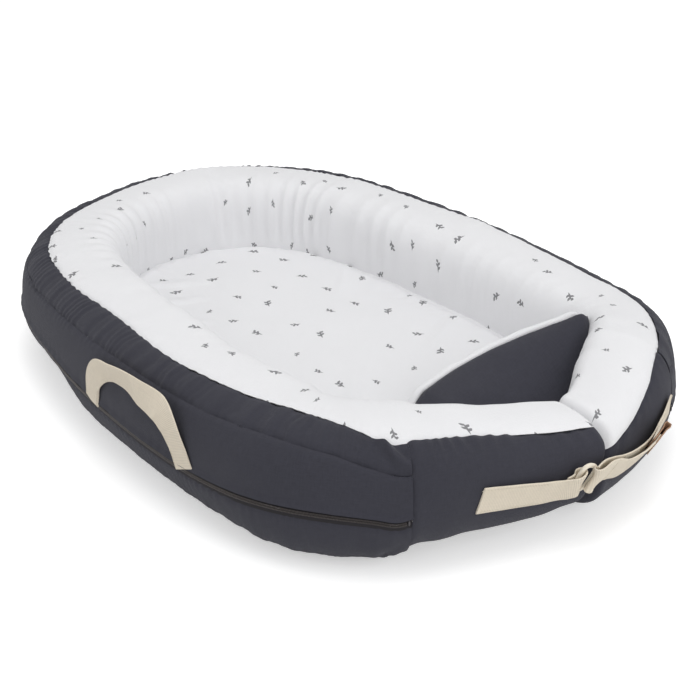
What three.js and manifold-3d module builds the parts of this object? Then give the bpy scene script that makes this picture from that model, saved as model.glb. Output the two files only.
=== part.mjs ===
// Infant lounger: a padded nest with a stuffed rim that opens at the foot end.
// Millimetres, +Z up, +Y towards the head. The origin is on the floor, in the middle of the footprint.
import * as THREE from 'three';
import { mergeVertices } from 'three/addons/utils/BufferGeometryUtils.js';
import Module from 'manifold-3d';

// Plan of the nest, measured at the widest line of the rim.
const nestLength = 880;
const halfWidth = 308;
const widestPlace = -60;
const headNarrowing = 28;
const headRadius = halfWidth - headNarrowing;
const footCornerRadius = 210;
const footSlopeDegrees = 12.6;
const tipOffset = 16;
const endLength = 192;

// Section of the stuffed rim. The outer half is rounder than the inner half.
const rimHeight = 150;
const rimOuterHalf = 76;
const rimInnerHalf = 49;
const rimLift = 0.6;
const outerRoundnessShare = 2.5;
const innerRoundnessShare = 3.4;
const tipWidthShare = 0.9;
const tipHeightShare = 0.69;
const endRaise = 7;
const tipLift = 11;
const tipRounding = 26;
const tipClearance = 2.4;

// Cloth, and the small gaps between pieces that touch.
const clearance = 0.3;
const seamGap = 0.8;
const coverCloth = 2;
const gatherDepth = 3;
const gatherFade = 60;

// Angles round the rim's section, from straight out, in degrees: 90 is the crest, 180 straight in.
const linerEdgeDegrees = 63;
const sideSeamDegrees = 47;
const headSeamDegrees = 38;
const footSeamDegrees = 38;
const bottomSeamDegrees = -88;
const floorSeamDegrees = 196;
const endLinerDegrees = 268;
const sectionStepDegrees = 18;

// Zip round the side, below the widest line of the rim.
const zipHeight = 65;
const zipTapeWidth = 14;
const zipTapeThickness = 1.2;
const zipTapeDepth = 0.2;
const zipCoilWidth = 4.4;
const zipCoilRise = 1;
const zipStopLength = 6;
const sliderLength = 13;
const sliderWidth = 10;
const sliderPlate = 1.8;
const sliderRecessWidth = 6;
const sliderStart = 30;
const crownLength = 7;
const crownWidth = 3.2;
const crownRise = 3.4;
const crownWire = 1.2;
const pullLength = 26;
const pullWidth = 7;
const pullThickness = 1.2;
const pullRoundness = 3;

// Floor of the nest: the base cloth, the foam pad and the white floor sheet above it.
const baseCloth = 2;
const floorHeight = 61;
const floorSheet = 2;
const floorCrown = 7;
const crownCentre = 60;
const crownReach = 230;
const panelRest = 0.6;
const baseEndGap = 4;

// Padded foot panel with its rolled white hem.
const panelToTip = 217;
const panelHeadEdge = panelToTip - nestLength / 2;
const panelEdgeBow = 55;
const panelLength = 96;
const panelHeight = 103;
const panelTilt = 44;
const panelFootThickness = 5;
const panelFallShare = 1.7;
const panelWallGap = 2.4;
const hemRadius = 9;
const hemWallGap = 3;
const hemFootThickness = 5;
const hemRun = 30;
const hemLeast = 3;

// Webbing: two carrying handles and the strap that closes the foot end.
const webbingWidth = 29;
const webbingThickness = 2;
const handlePlace = -90;
const handleSpan = 216;
const handleRise = 52;
const handleCornerRadius = 34;
const handleStandOff = 13;
const handleFootLift = 6;
const strapStart = 140;
const strapSewnEnd = 150;
const strapTipHeight = 65;
const strapClimbShare = 0.13;
const ringLength = 27;
const ringHeight = 42;
const ringWire = 4.4;
const ringCornerRadius = 4.4;
const ringTipGap = 3;
const strapReturn = 26;
const strapSplice = 4;
const patchThickness = 0.8;
const patchStart = 30;
const patchEnd = 60;
const tailBend = 62;
const tailLeanDegrees = 24;
const tailFree = 26;
const tabOverlap = 10;
const tabLength = 24;
const tabThickness = 1.6;
const tabWidth = 31;

const degree = Math.PI / 180;
const deepCloth = coverCloth + clearance;
const coreDepth = deepCloth;
const sectionStep = sectionStepDegrees * degree;
const wasm = await Module();
wasm.setup();

// Plan outline: one half runs from the tip where the ends meet, round a foot corner, up the side and
// round the head to its middle. The arcs touch smoothly, so the side's radius follows from the others.
const headCentre = new THREE.Vector2(0, nestLength / 2 - headRadius);
const sideRise = headCentre.y - widestPlace;
const sideRadius = (halfWidth ** 2 + sideRise ** 2 - headRadius ** 2) / (2 * (halfWidth - headRadius));
const sideCentre = new THREE.Vector2(halfWidth - sideRadius, widestPlace);
const footSlope = footSlopeDegrees * degree;

function halfOutline(hand) {
  const tip = new THREE.Vector2(hand * tipOffset, -nestLength / 2);
  const along = new THREE.Vector2(Math.cos(footSlope), Math.sin(footSlope));
  const inward = new THREE.Vector2(-along.y, along.x);
  const start = tip.clone().addScaledVector(inward, footCornerRadius).sub(sideCentre);
  const lean = start.dot(along);
  const straight = -lean + Math.sqrt(lean ** 2 - start.lengthSq() + (sideRadius - footCornerRadius) ** 2);
  const cornerCentre = start.clone().addScaledVector(along, straight).add(sideCentre);
  const footAngle = footSlope - Math.PI / 2;
  const cornerAngle = cornerCentre.clone().sub(sideCentre).angle() - 2 * Math.PI;
  const headAngle = headCentre.clone().sub(sideCentre).angle();
  const arcs = [
    { centre: cornerCentre, radius: footCornerRadius, from: footAngle, to: cornerAngle },
    { centre: sideCentre, radius: sideRadius, from: cornerAngle, to: headAngle },
    { centre: headCentre, radius: headRadius, from: headAngle, to: Math.PI / 2 },
  ];
  const lengths = arcs.map((arc) => arc.radius * (arc.to - arc.from));
  const ends = [straight];
  for (const length of lengths) ends.push(ends[ends.length - 1] + length);
  return { hand, tip, along, inward, straight, arcs, ends, seam: endLength - hand * tipOffset };
}
const halves = { right: halfOutline(1), left: halfOutline(-1) };

// A station is a place on the outline, with the direction in which insets are measured there.
// Near the tip that direction turns, so that both ends close on one upright plane.
// The seam under the gathered band runs lower round the head and at the foot corners.
function station(half, distance) {
  const mitre = new THREE.Vector2(0, 1 / Math.cos(footSlope));
  if (distance <= half.straight) {
    const share = 1 - Math.max(distance, 0) / half.straight;
    const point = half.tip.clone().addScaledVector(half.along, distance);
    return finishStation(half, distance, point, half.inward.clone().lerp(mitre, share), half.inward);
  }
  const index = half.ends.findIndex((end, i) => i > 0 && (distance <= end || i === half.arcs.length));
  const arc = half.arcs[index - 1];
  const angle = arc.from + (distance - half.ends[index - 1]) / arc.radius;
  const outward = new THREE.Vector2(Math.cos(angle), Math.sin(angle));
  const point = arc.centre.clone().addScaledVector(outward, arc.radius);
  const inset = outward.clone().negate();
  return finishStation(half, distance, point, inset, inset);
}

function finishStation(half, distance, point, inset, square) {
  const mirror = (v) => new THREE.Vector2(half.hand * v.x, v.y);
  const endShare = THREE.MathUtils.clamp(1 - distance / half.seam, 0, 1);
  const facing = square.y;
  const target = facing < 0 ? headSeamDegrees : footSeamDegrees;
  const bandAngle = (sideSeamDegrees + (target - sideSeamDegrees) * facing ** 2) * degree;
  const turned = { point: mirror(point), inset: mirror(inset), square: mirror(square) };
  return { distance, ...turned, bandAngle, endShare, raise: 0, shrink: 1 };
}

// Distances at which the rim's pieces have their sections. Straight stretches and arcs are split evenly.
const cornerSteps = 5;
const sideSteps = 6;
const headSteps = 10;

function split(from, to, steps) {
  return Array.from({ length: steps }, (_, i) => from + ((to - from) * i) / steps);
}

function rimStations(half, startGap) {
  const [, corner, side, head] = half.ends;
  const places = [
    ...split(half.seam + startGap, corner, cornerSteps),
    ...split(corner, side, sideSteps),
    ...split(side, head, headSteps),
  ];
  return places.map((distance) => station(half, distance));
}

function rimLoop(startGap) {
  const left = rimStations(halves.left, startGap);
  const right = rimStations(halves.right, startGap);
  const middle = station(halves.right, halves.right.ends[halves.right.arcs.length]);
  return [...left, middle, ...right.reverse()];
}
const rimRun = rimLoop(seamGap / 2);

// Straight subdivision of a run of stations, for gathers that ride on the same flat facets.
function subdivide(run, count) {
  const fine = [];
  for (let i = 0; i < run.length - 1; i += 1) {
    for (let k = 0; k < count; k += 1) fine.push(between(run[i], run[i + 1], k / count));
  }
  fine.push(run[run.length - 1]);
  return fine;
}

function between(a, b, share) {
  return {
    distance: THREE.MathUtils.lerp(a.distance, b.distance, share),
    point: a.point.clone().lerp(b.point, share),
    inset: a.inset.clone().lerp(b.inset, share),
    square: a.square.clone().lerp(b.square, share),
    bandAngle: THREE.MathUtils.lerp(a.bandAngle, b.bandAngle, share),
    endShare: THREE.MathUtils.lerp(a.endShare, b.endShare, share),
    raise: a.raise,
    shrink: 1,
  };
}

// An end stays a little above the floor, narrows towards its tip and closes there in a rounded cap.
// Deeper layers have a smaller cap.
const capShares = [0, 0.35, 0.6, 0.8, 0.92, 0.985];
const endSteps = 5;

function endRun(half, depth) {
  const capStart = tipRounding + tipClearance;
  const run = split(half.seam - seamGap / 2, capStart, endSteps).map((distance) => station(half, distance));
  for (const share of capShares) {
    const cap = station(half, capStart - (tipRounding - depth) * share);
    run.push({ ...cap, shrink: Math.sqrt(1 - share ** 2) });
  }
  return run.map((at) => ({ ...at, raise: endRaise }));
}

// A point of the rim's section: the angle round it, and the depth below its outer surface.
function rimPoint(at, angle, depth) {
  const width = 1 - (1 - tipWidthShare) * at.endShare;
  const outside = Math.cos(angle) >= 0;
  const half = (outside ? rimOuterHalf : rimInnerHalf) * width;
  const power = outside ? outerRoundnessShare : innerRoundnessShare;
  const reach = Math.abs(Math.cos(angle)) / ((half - depth) * at.shrink);
  const rise = Math.abs(Math.sin(angle)) / ((rimHalfHeight(at) - depth) * at.shrink);
  const radius = (reach ** power + rise ** power) ** (-1 / power);
  const inset = rimOuterHalf * width - radius * Math.cos(angle);
  return spot(at, inset, rimMiddle(at) + radius * Math.sin(angle));
}

function rimHalfHeight(at) {
  return ((rimHeight - at.raise) / 2) * (1 - (1 - tipHeightShare) * at.endShare);
}

function rimMiddle(at) {
  return rimLift + at.raise + tipLift * at.endShare + rimHalfHeight(at);
}

function spot(at, inset, height) {
  return new THREE.Vector3(at.point.x + at.inset.x * inset, at.point.y + at.inset.y * inset, height);
}

// Angle of a height on the outer half of the rim's section.
function outerAngle(height) {
  const rise = height - rimLift - rimHeight / 2;
  const drop = Math.abs(rise) / (rimHeight / 2);
  const reach = rimOuterHalf * (1 - drop ** outerRoundnessShare) ** (1 / outerRoundnessShare);
  return Math.atan2(rise, reach);
}

const nearShare = 0.02;

function angleList(from, to) {
  const list = [from];
  const first = Math.ceil(from / sectionStep + nearShare);
  const last = Math.floor(to / sectionStep - nearShare);
  for (let k = first; k <= last; k += 1) list.push(k * sectionStep);
  list.push(to);
  return list;
}

const halfGapAngle = clearance / 2 / rimOuterHalf;

// Solids. Rings of points, all with the same count, are joined into one closed body.
function meshFrom(points, faces) {
  const geometry = new THREE.BufferGeometry();
  const places = points.flatMap((p) => [p.x, p.y, p.z]);
  geometry.setAttribute('position', new THREE.Float32BufferAttribute(places, 3));
  geometry.setIndex(faces.flat());
  if (signedVolume(points, faces) < 0) geometry.setIndex(faces.map(([a, b, c]) => [a, c, b]).flat());
  geometry.computeVertexNormals();
  return geometry;
}

function signedVolume(points, faces) {
  const turn = new THREE.Vector3();
  return faces.reduce((sum, [a, b, c]) => sum + points[a].dot(turn.crossVectors(points[b], points[c])), 0);
}

// Each four-sided face is split along one diagonal. flipped says where it is the other one, so that
// the faces of layers that lie on each other are split alike.
function sides(ringCount, size, closed, flipped = () => false) {
  const faces = [];
  for (let r = 0; r < (closed ? ringCount : ringCount - 1); r += 1) {
    const next = (r + 1) % ringCount;
    for (let i = 0; i < size; i += 1) {
      const j = (i + 1) % size;
      const [a, b, c, d] = [r * size + i, r * size + j, next * size + j, next * size + i];
      if (flipped(r, i)) faces.push([a, b, d], [b, c, d]);
      else faces.push([a, b, c], [a, c, d]);
    }
  }
  return faces;
}

// Caps for a strip of cloth: its ring is an outer row followed by the inner row walked back.
function stripCap(first, size, flip) {
  const faces = [];
  for (let i = 0; i < size / 2 - 1; i += 1) {
    const [a, b] = [first + i, first + i + 1];
    const [c, d] = [first + size - 2 - i, first + size - 1 - i];
    faces.push([a, c, b], [a, d, c]);
  }
  return flip ? faces.map(([a, b, c]) => [a, c, b]) : faces;
}

function fanCap(first, size, flip) {
  const faces = [];
  for (let i = 1; i < size - 1; i += 1) faces.push([first, first + i + 1, first + i]);
  return flip ? faces.map(([a, b, c]) => [a, c, b]) : faces;
}

function loft(rings, cap) {
  const size = rings[0].length;
  const last = (rings.length - 1) * size;
  const walls = sides(rings.length, size, false, (r, i) => cap === stripCap && i >= size / 2);
  return meshFrom(rings.flat(), [...walls, ...cap(0, size, false), ...cap(last, size, true)]);
}

function loopSolid(rings) {
  return meshFrom(rings.flat(), sides(rings.length, rings[0].length, true));
}

// A strip of cloth on the rim between two angles, each of which may change along the run.
// Between them it has the same angles as the stuffing, so that the flat facets lie on each other.
// ripple gives how far its outer face stands out at a station.
function rimStrip(run, fromAngle, toAngle, outerDepth, innerDepth, ripple = () => () => 0) {
  const inside = angleList(Math.max(...run.map(fromAngle)), Math.min(...run.map(toAngle))).slice(1, -1);
  const rings = run.map((at, index) => {
    const angles = [fromAngle(at) + halfGapAngle, ...inside, toAngle(at) - halfGapAngle];
    const share = (angle) => (angle - angles[0]) / (angles[angles.length - 1] - angles[0]);
    const lift = ripple(at, index);
    const outer = angles.map((angle) => rimPoint(at, angle, outerDepth - lift(share(angle))));
    const inner = angles.map((angle) => rimPoint(at, angle, innerDepth));
    return [...outer, ...inner.reverse()];
  });
  return loft(rings, stripCap);
}

const fixed = (degrees) => () => degrees * degree;
const linerEdge = fixed(linerEdgeDegrees);
const bandSeam = (at) => at.bandAngle;

function seamFade(at) {
  const fromSeam = Math.min(at.distance - halves.left.seam, at.distance - halves.right.seam);
  return THREE.MathUtils.smoothstep(fromSeam, 0, gatherFade);
}

// Gathers: the cloth stands out at every second station and is held flat along its seams.
function gathers(depth) {
  return (at, index) => (share) => {
    const swell = index % 2 === 1 ? 1 : 0;
    return depth * swell * seamFade(at) * Math.sin(Math.PI * share);
  };
}

const upperGatherSteps = 4;

function upperBand() {
  const run = subdivide(rimRun, upperGatherSteps);
  return rimStrip(run, bandSeam, linerEdge, 0, coverCloth, gathers(gatherDepth));
}

const zipLow = outerAngle(zipHeight - zipTapeWidth / 2);
const zipHigh = outerAngle(zipHeight + zipTapeWidth / 2);
const coilLow = outerAngle(zipHeight - zipCoilWidth / 2);
const coilHigh = outerAngle(zipHeight + zipCoilWidth / 2);

function sidePanel() {
  return rimStrip(rimRun, () => zipHigh, bandSeam, 0, coverCloth);
}

function lowerBand() {
  return rimStrip(rimRun, fixed(bottomSeamDegrees), () => zipLow, 0, coverCloth);
}

function wallLiner() {
  return rimStrip(rimRun, linerEdge, fixed(floorSeamDegrees), 0, coverCloth);
}

function zipTape(from, to) {
  return rimStrip(rimRun, () => from, () => to, zipTapeDepth, zipTapeDepth + zipTapeThickness);
}

// The closed teeth make one low ridge, which ends at a stop on both sides of the foot opening.
function zipCoil() {
  const run = rimLoop(zipStopLength + clearance + seamGap / 2);
  return rimStrip(run, () => coilLow, () => coilHigh, -zipCoilRise, zipTapeDepth + zipTapeThickness);
}

function zipStop(half) {
  const start = half.seam + seamGap / 2;
  const run = [station(half, start), station(half, start + zipStopLength)];
  return rimStrip(run, () => coilLow, () => coilHigh, -zipCoilRise, zipTapeDepth + zipTapeThickness);
}

// Stuffing of the rim, in three lengths that bend against each other at the foot corners.
function coreRing(at) {
  const count = 2 * Math.PI / sectionStep;
  return Array.from({ length: Math.round(count) }, (_, i) => rimPoint(at, i * sectionStep, coreDepth));
}

function bolsterCore() {
  return loft(rimRun.map(coreRing), fanCap);
}

function endCore(half) {
  return loft(endRun(half, coreDepth).map(coreRing), fanCap);
}

// The covers of an end close over its rounded tip, so their inner faces follow a smaller cap.
function endStrip(half, fromAngle, toAngle) {
  const outerRun = endRun(half, 0);
  const innerRun = endRun(half, coverCloth);
  const angles = angleList(fromAngle + halfGapAngle, toAngle - halfGapAngle);
  const rings = outerRun.map((at, i) => [
    ...angles.map((angle) => rimPoint(at, angle, 0)),
    ...[...angles].reverse().map((angle) => rimPoint(innerRun[i], angle, coverCloth)),
  ]);
  return loft(rings, stripCap);
}

function endCover(half) {
  return endStrip(half, bottomSeamDegrees * degree, linerEdgeDegrees * degree);
}

function endLiner(half) {
  return endStrip(half, linerEdgeDegrees * degree, endLinerDegrees * degree);
}

// Flat and crowned pieces inside the rim. Their edge is the outline at an inset, and their faces are
// rings that shrink towards a middle point.
const innerInset = rimOuterHalf + rimInnerHalf + clearance;

function insetLoop(inset, endInset = inset) {
  const endStations = (half) => split(0, half.seam, endSteps).map((distance) => station(half, distance));
  const place = (at, depth) => at.point.clone().addScaledVector(at.inset, depth);
  const halfLoop = (half) => [
    ...endStations(half).map((at) => place(at, endInset)),
    place(station(half, half.seam), endInset),
    ...rimStations(half, seamGap / 2).map((at) => place(at, inset)),
  ];
  const middle = place(station(halves.right, halves.right.ends[halves.right.arcs.length]), inset);
  return [...halfLoop(halves.left).slice(1), middle, ...halfLoop(halves.right).reverse()];
}

// Layers run from the middle of the underside to the middle of the top.
// Each has the share of the outline that it reaches and a height, which may depend on the place.
function layeredSolid(edge, centre, layers) {
  const points = [];
  const at = (p, share, height) => {
    const x = centre.x + (p.x - centre.x) * share;
    const y = centre.y + (p.y - centre.y) * share;
    points.push(new THREE.Vector3(x, y, typeof height === 'function' ? height(x, y, share) : height));
  };
  at(centre, 0, layers[0].height);
  const rings = layers.slice(1, -1);
  for (const layer of rings) edge.forEach((p) => at(p, layer.share, layer.height));
  at(centre, 0, layers[layers.length - 1].height);
  const size = edge.length;
  const widens = (r) => rings[r].share < rings[r + 1].share;
  const faces = sides(rings.length, size, false, widens).map((face) => face.map((index) => index + 1));
  const last = 1 + rings.length * size;
  for (let i = 0; i < size; i += 1) {
    const j = (i + 1) % size;
    faces.push([0, 1 + j, 1 + i], [last, last - size + i, last - size + j]);
  }
  return meshFrom(points, faces);
}

const crownShares = [1, 0.86, 0.66, 0.4];
const nestMiddle = new THREE.Vector2(0, 0);
const padReach = halfWidth - innerInset;

// The floor swells in its middle and is flat at its edge and under the foot panel.
function crownAt(base) {
  return (x, y) => {
    const away = (x / padReach) ** 2 + ((y - crownCentre) / crownReach) ** 2;
    return base + floorCrown * Math.max(0, 1 - away) ** 2;
  };
}

function crownLayers(height) {
  return [...crownShares.map((share) => ({ share, height })), { share: 0, height }];
}

function flatLayers(height) {
  return [{ share: 0, height }, { share: 1, height }];
}

function mattressPad() {
  const top = crownAt(floorHeight - floorSheet - clearance);
  const layers = [...flatLayers(baseCloth + clearance), ...crownLayers(top)];
  return layeredSolid(insetLoop(innerInset), nestMiddle, layers);
}

function floorLiner() {
  const top = crownLayers(crownAt(floorHeight));
  const bottom = crownLayers(crownAt(floorHeight - floorSheet)).reverse();
  return layeredSolid(insetLoop(innerInset), nestMiddle, [...bottom, ...top]);
}

// The base cloth closes the underside inside the rim and is what the nest stands on.
function baseSheet() {
  const edge = insetLoop(rimOuterHalf, innerInset + baseEndGap);
  return layeredSolid(edge, nestMiddle, [...flatLayers(0), ...flatLayers(baseCloth).reverse()]);
}

// Foot panel: its head edge bows towards the head, and its other edges follow the two ends.
// It leans, because the right end holds it up and its left side lies on the floor.

function panelEdgeY(x) {
  return panelHeadEdge - panelEdgeBow * (x / padReach) ** 2;
}

function panelTop(x) {
  return panelHeight + panelTilt * (x / padReach);
}

const panelEdgeSteps = 12;

function panelOutline(wallGap) {
  const wall = insetLoop(innerInset + wallGap);
  const foot = wall.filter((p) => p.y < panelEdgeY(p.x) - hemWallGap);
  foot.sort((a, b) => Math.atan2(a.x - tipOffset, -a.y) - Math.atan2(b.x - tipOffset, -b.y));
  const right = foot[foot.length - 1];
  const left = foot[0];
  const edge = [];
  for (let i = 1; i < panelEdgeSteps; i += 1) {
    const x = THREE.MathUtils.lerp(right.x, left.x, i / panelEdgeSteps);
    edge.push(new THREE.Vector2(x, panelEdgeY(x)));
  }
  return [...foot, ...edge];
}

function outlineCentre(outline) {
  const box = new THREE.Box2().setFromPoints(outline);
  return box.getCenter(new THREE.Vector2());
}

function shrinkOutline(outline, distance) {
  const centre = outlineCentre(outline);
  const reach = new THREE.Box2().setFromPoints(outline).getSize(new THREE.Vector2()).multiplyScalar(1 / 2);
  const scale = new THREE.Vector2(1 - distance / reach.x, 1 - distance / reach.y);
  return outline.map((p) => p.clone().sub(centre).multiply(scale).add(centre));
}

const panelBottom = floorHeight + panelRest;

// Behind its head edge the panel falls in a round slope to a low foot.
function panelSlope(drop) {
  return (x, y) => {
    const back = THREE.MathUtils.clamp((panelEdgeY(x) - y) / panelLength, 0, 1);
    const foot = panelBottom + panelFootThickness;
    return foot + (panelTop(x) - foot) * (1 - back ** panelFallShare) - drop;
  };
}

function panelCover() {
  const outside = panelOutline(panelWallGap);
  const inside = shrinkOutline(outside, coverCloth);
  const centre = outlineCentre(outside);
  return shellSolid(outside, inside, centre, panelSlope(0), panelSlope(coverCloth), panelBottom);
}

// A cap open below: the outer face, down its edge, across the hem and back under the inner face.
const slopeShares = [0.3, 0.6, 0.85, 1];

function shellSolid(outside, inside, centre, outerTop, innerTop, bottom) {
  const rows = [
    ...slopeShares.map((share) => ({ edge: outside, share, height: outerTop })),
    { edge: outside, share: 1, height: bottom },
    { edge: inside, share: 1, height: bottom },
    ...[...slopeShares].reverse().map((share) => ({ edge: inside, share, height: innerTop })),
  ];
  const place = (p, row) => {
    const x = centre.x + (p.x - centre.x) * row.share;
    const y = centre.y + (p.y - centre.y) * row.share;
    return new THREE.Vector3(x, y, typeof row.height === 'function' ? row.height(x, y, row.share) : row.height);
  };
  const points = rows.flatMap((row) => row.edge.map((p) => place(p, row)));
  const size = outside.length;
  const faces = sides(rows.length, size, false);
  const topPole = points.push(new THREE.Vector3(centre.x, centre.y, outerTop(centre.x, centre.y, 0))) - 1;
  const lowPole = points.push(new THREE.Vector3(centre.x, centre.y, innerTop(centre.x, centre.y, 0))) - 1;
  const last = (rows.length - 1) * size;
  for (let i = 0; i < size; i += 1) {
    const j = (i + 1) % size;
    faces.push([topPole, j, i], [lowPole, last + i, last + j]);
  }
  return meshFrom(points, faces);
}

function panelPad() {
  const edge = shrinkOutline(panelOutline(panelWallGap), coverCloth + clearance);
  const top = panelSlope(coverCloth + clearance);
  const slopeLayers = [...slopeShares].reverse().map((share) => ({ share, height: top }));
  const layers = [...flatLayers(panelBottom), ...slopeLayers, { share: 0, height: top }];
  return layeredSolid(edge, outlineCentre(edge), layers);
}

// White rolled hem along the panel's head edge. It runs down to the floor as a padded facing.
const hemSteps = 14;
const rollShares = [0, 0.16, 0.32, 0.5, 0.68, 0.84];

function panelHem() {
  const outline = panelOutline(panelWallGap);
  const xs = outline.map((p) => p.x);
  const [left, right] = [Math.min(...xs) + hemWallGap, Math.max(...xs) - hemWallGap];
  const rings = [];
  for (let i = 0; i <= hemSteps; i += 1) {
    const x = THREE.MathUtils.lerp(left, right, i / hemSteps);
    const back = panelEdgeY(x) + clearance;
    const top = Math.max(panelTop(x), panelBottom + hemLeast);
    const middle = back + hemRadius;
    const roll = rollShares.map((share) => {
      const turn = Math.PI * share;
      return new THREE.Vector3(x, middle - hemRadius * Math.cos(turn), top + hemRadius * Math.sin(turn));
    });
    const foot = Math.max(back + hemRadius, back + hemRun - hemFootThickness);
    rings.push([
      ...roll,
      new THREE.Vector3(x, middle + hemRadius, top),
      new THREE.Vector3(x, foot + hemFootThickness, panelBottom),
      new THREE.Vector3(x, back, panelBottom),
    ]);
  }
  return loft(rings, fanCap);
}

// Webbing. A ribbon is carried along a list of places, each with the middle of its width, the unit
// direction across its width and the unit direction through its thickness.
function ribbon(places, width, thickness) {
  const rings = places.map(({ middle, across, out }) => {
    const corner = (side, face) => middle
      .clone()
      .addScaledVector(across, (side * width) / 2)
      .addScaledVector(out, (face * thickness) / 2);
    return [corner(-1, -1), corner(1, -1), corner(1, 1), corner(-1, 1)];
  });
  return loft(rings, fanCap);
}

// A place beside the rim: how far along it, how far out from its widest line, and how high.
function beside(half, distance, standOff, height) {
  const at = station(half, distance);
  const out = new THREE.Vector3(-at.square.x, -at.square.y, 0);
  return new THREE.Vector3(at.point.x, at.point.y, height).addScaledVector(out, standOff);
}

// Handle: both feet are sewn in above the zip. The loop stands up along the side where rise is 1 and
// hangs down where it is -1.
const handleFoot = zipHeight + zipTapeWidth / 2 + handleFootLift / 2;
const handleInner = clearance + webbingThickness / 2 + clearance;
const legSteps = 3;
const bendSteps = 5;

function sideDistance(half, y) {
  return half.ends[1] + sideRadius * (Math.asin((y - widestPlace) / sideRadius) - half.arcs[1].from);
}

// Half of the loop, as pairs of place along the side and height above the feet.
function handleLine() {
  const reach = handleSpan / 2;
  const bend = handleCornerRadius;
  const line = split(0, handleRise - bend, legSteps).map((height) => [-reach, height]);
  for (let i = 0; i <= bendSteps; i += 1) {
    const turn = (Math.PI / 2) * (i / bendSteps);
    line.push([-reach + bend * (1 - Math.cos(turn)), handleRise - bend * (1 - Math.sin(turn))]);
  }
  return line;
}

function handle(half, rise) {
  const leg = handleLine();
  const line = [...leg, [0, handleRise], ...leg.map(([along, height]) => [-along, height]).reverse()];
  const start = sideDistance(half, handlePlace);
  const middles = line.map(([along, height]) => {
    const lift = handleStandOff * THREE.MathUtils.smoothstep(height, 0, handleRise);
    return beside(half, start + along, handleInner + lift, handleFoot + rise * height);
  });
  const places = middles.map((middle, i) => {
    const before = middles[Math.max(i - 1, 0)];
    const after = middles[Math.min(i + 1, middles.length - 1)];
    const along = after.clone().sub(before).normalize();
    const at = station(half, start + line[i][0]);
    const side = new THREE.Vector3(-at.square.x, -at.square.y, 0);
    const across = side.clone().cross(along).normalize();
    return { middle, across, out: along.clone().cross(across).normalize() };
  });
  return ribbon(places, webbingWidth, webbingThickness);
}

// Closing strap. Its height follows the middle of the end, and its layers are counted outwards:
// the back layer on the cover, the ring, and the front layer.
const backLayer = clearance + webbingThickness / 2;
const ringLayer = clearance + webbingThickness + clearance + ringWire / 2;
const frontLayer = ringLayer + ringWire / 2 + clearance + webbingThickness / 2;
const ringBar = ringTipGap + ringLength - ringWire / 2;
const ringFar = ringTipGap + ringWire / 2;
const upright = new THREE.Vector3(0, 0, 1);

function strapMiddle(distance) {
  return strapTipHeight + strapClimbShare * distance;
}

// Webbing that stands on edge along a line in plan.
function flatRibbon(middles, width, thickness) {
  const places = middles.map((middle, i) => {
    const before = middles[Math.max(i - 1, 0)];
    const after = middles[Math.min(i + 1, middles.length - 1)];
    const along = after.clone().sub(before).setZ(0).normalize();
    return { middle, across: upright, out: upright.clone().cross(along) };
  });
  return ribbon(places, width, thickness);
}

// The strap's line: pairs of distance from the tip and stand-off from the cover.
function strapRibbon(half, line, width, thickness) {
  const place = ([distance, standOff]) => beside(half, distance, standOff, strapMiddle(distance));
  return flatRibbon(line.map(place), width, thickness);
}

// A place on the straight front of an end, or on the plane that continues it.
function facePoint(half, distance, standOff) {
  const place = half.tip.clone().addScaledVector(half.along, distance).addScaledVector(half.inward, -standOff);
  return new THREE.Vector3(half.hand * place.x, place.y, strapMiddle(distance));
}

const foldSteps = 6;

// Half a turn round a bar, which bulges towards the tip where side is 1 and away from it where side is -1.
function halfTurn(distance, standOff, radius, side) {
  return Array.from({ length: foldSteps + 1 }, (_, i) => {
    const turn = (Math.PI * i) / foldSteps;
    return [distance - side * radius * Math.sin(turn), standOff - radius * Math.cos(turn)];
  });
}

// Short strap: sewn to the left end, round the ring's straight bar and back under itself.
function shortStrap() {
  const radius = ringWire / 2 + clearance + webbingThickness / 2;
  const turn = halfTurn(ringBar, ringLayer, radius, 1);
  const lower = turn[0][1];
  const overlap = lower + webbingThickness + clearance;
  const line = [
    [ringBar + strapReturn, backLayer],
    ...turn,
    [ringBar + radius, turn[foldSteps][1]],
    [ringBar + strapReturn, overlap],
    [ringBar + strapReturn + 2 * strapSplice, backLayer + webbingThickness / 2],
    [ringBar + strapReturn + 4 * strapSplice, backLayer],
    [strapStart, backLayer],
  ];
  return strapRibbon(halves.left, line, webbingWidth, webbingThickness);
}

// The ring is an oblong loop of round wire. Its long bars stand upright.
const ringCornerSteps = 4;
const wireSides = 8;

function strapRing() {
  const half = halves.left;
  const bend = ringCornerRadius;
  const [reachAlong, reachUp] = [(ringLength - ringWire) / 2 - bend, (ringHeight - ringWire) / 2 - bend];
  const centre = ringTipGap + ringLength / 2;
  const middle = strapMiddle(centre);
  const rings = [];
  for (let corner = 0; corner < 4; corner += 1) {
    const signAlong = corner === 0 || corner === 3 ? 1 : -1;
    const signUp = corner < 2 ? 1 : -1;
    for (let i = 0; i <= ringCornerSteps; i += 1) {
      const turn = (Math.PI / 2) * (corner + i / ringCornerSteps);
      const outward = new THREE.Vector2(Math.cos(turn), Math.sin(turn));
      const along = centre + signAlong * reachAlong + bend * outward.x;
      const up = middle + signUp * reachUp + bend * outward.y;
      rings.push(wireRing(half, along, up, outward));
    }
  }
  return loopSolid(rings);
}


function wireRing(half, along, up, outward) {
  return Array.from({ length: wireSides }, (_, k) => {
    const turn = (2 * Math.PI * k) / wireSides;
    const radial = (ringWire / 2) * Math.cos(turn);
    const through = (ringWire / 2) * Math.sin(turn);
    return beside(half, along + outward.x * radial, ringLayer + through, up + outward.y * radial);
  });
}

// Long strap: its sewn base on the right end, the fold through the ring, and the tail folded back.
const foldStart = strapSplice;
const tailLayer = backLayer + webbingThickness + 2 * (patchThickness + clearance) + clearance;

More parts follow.
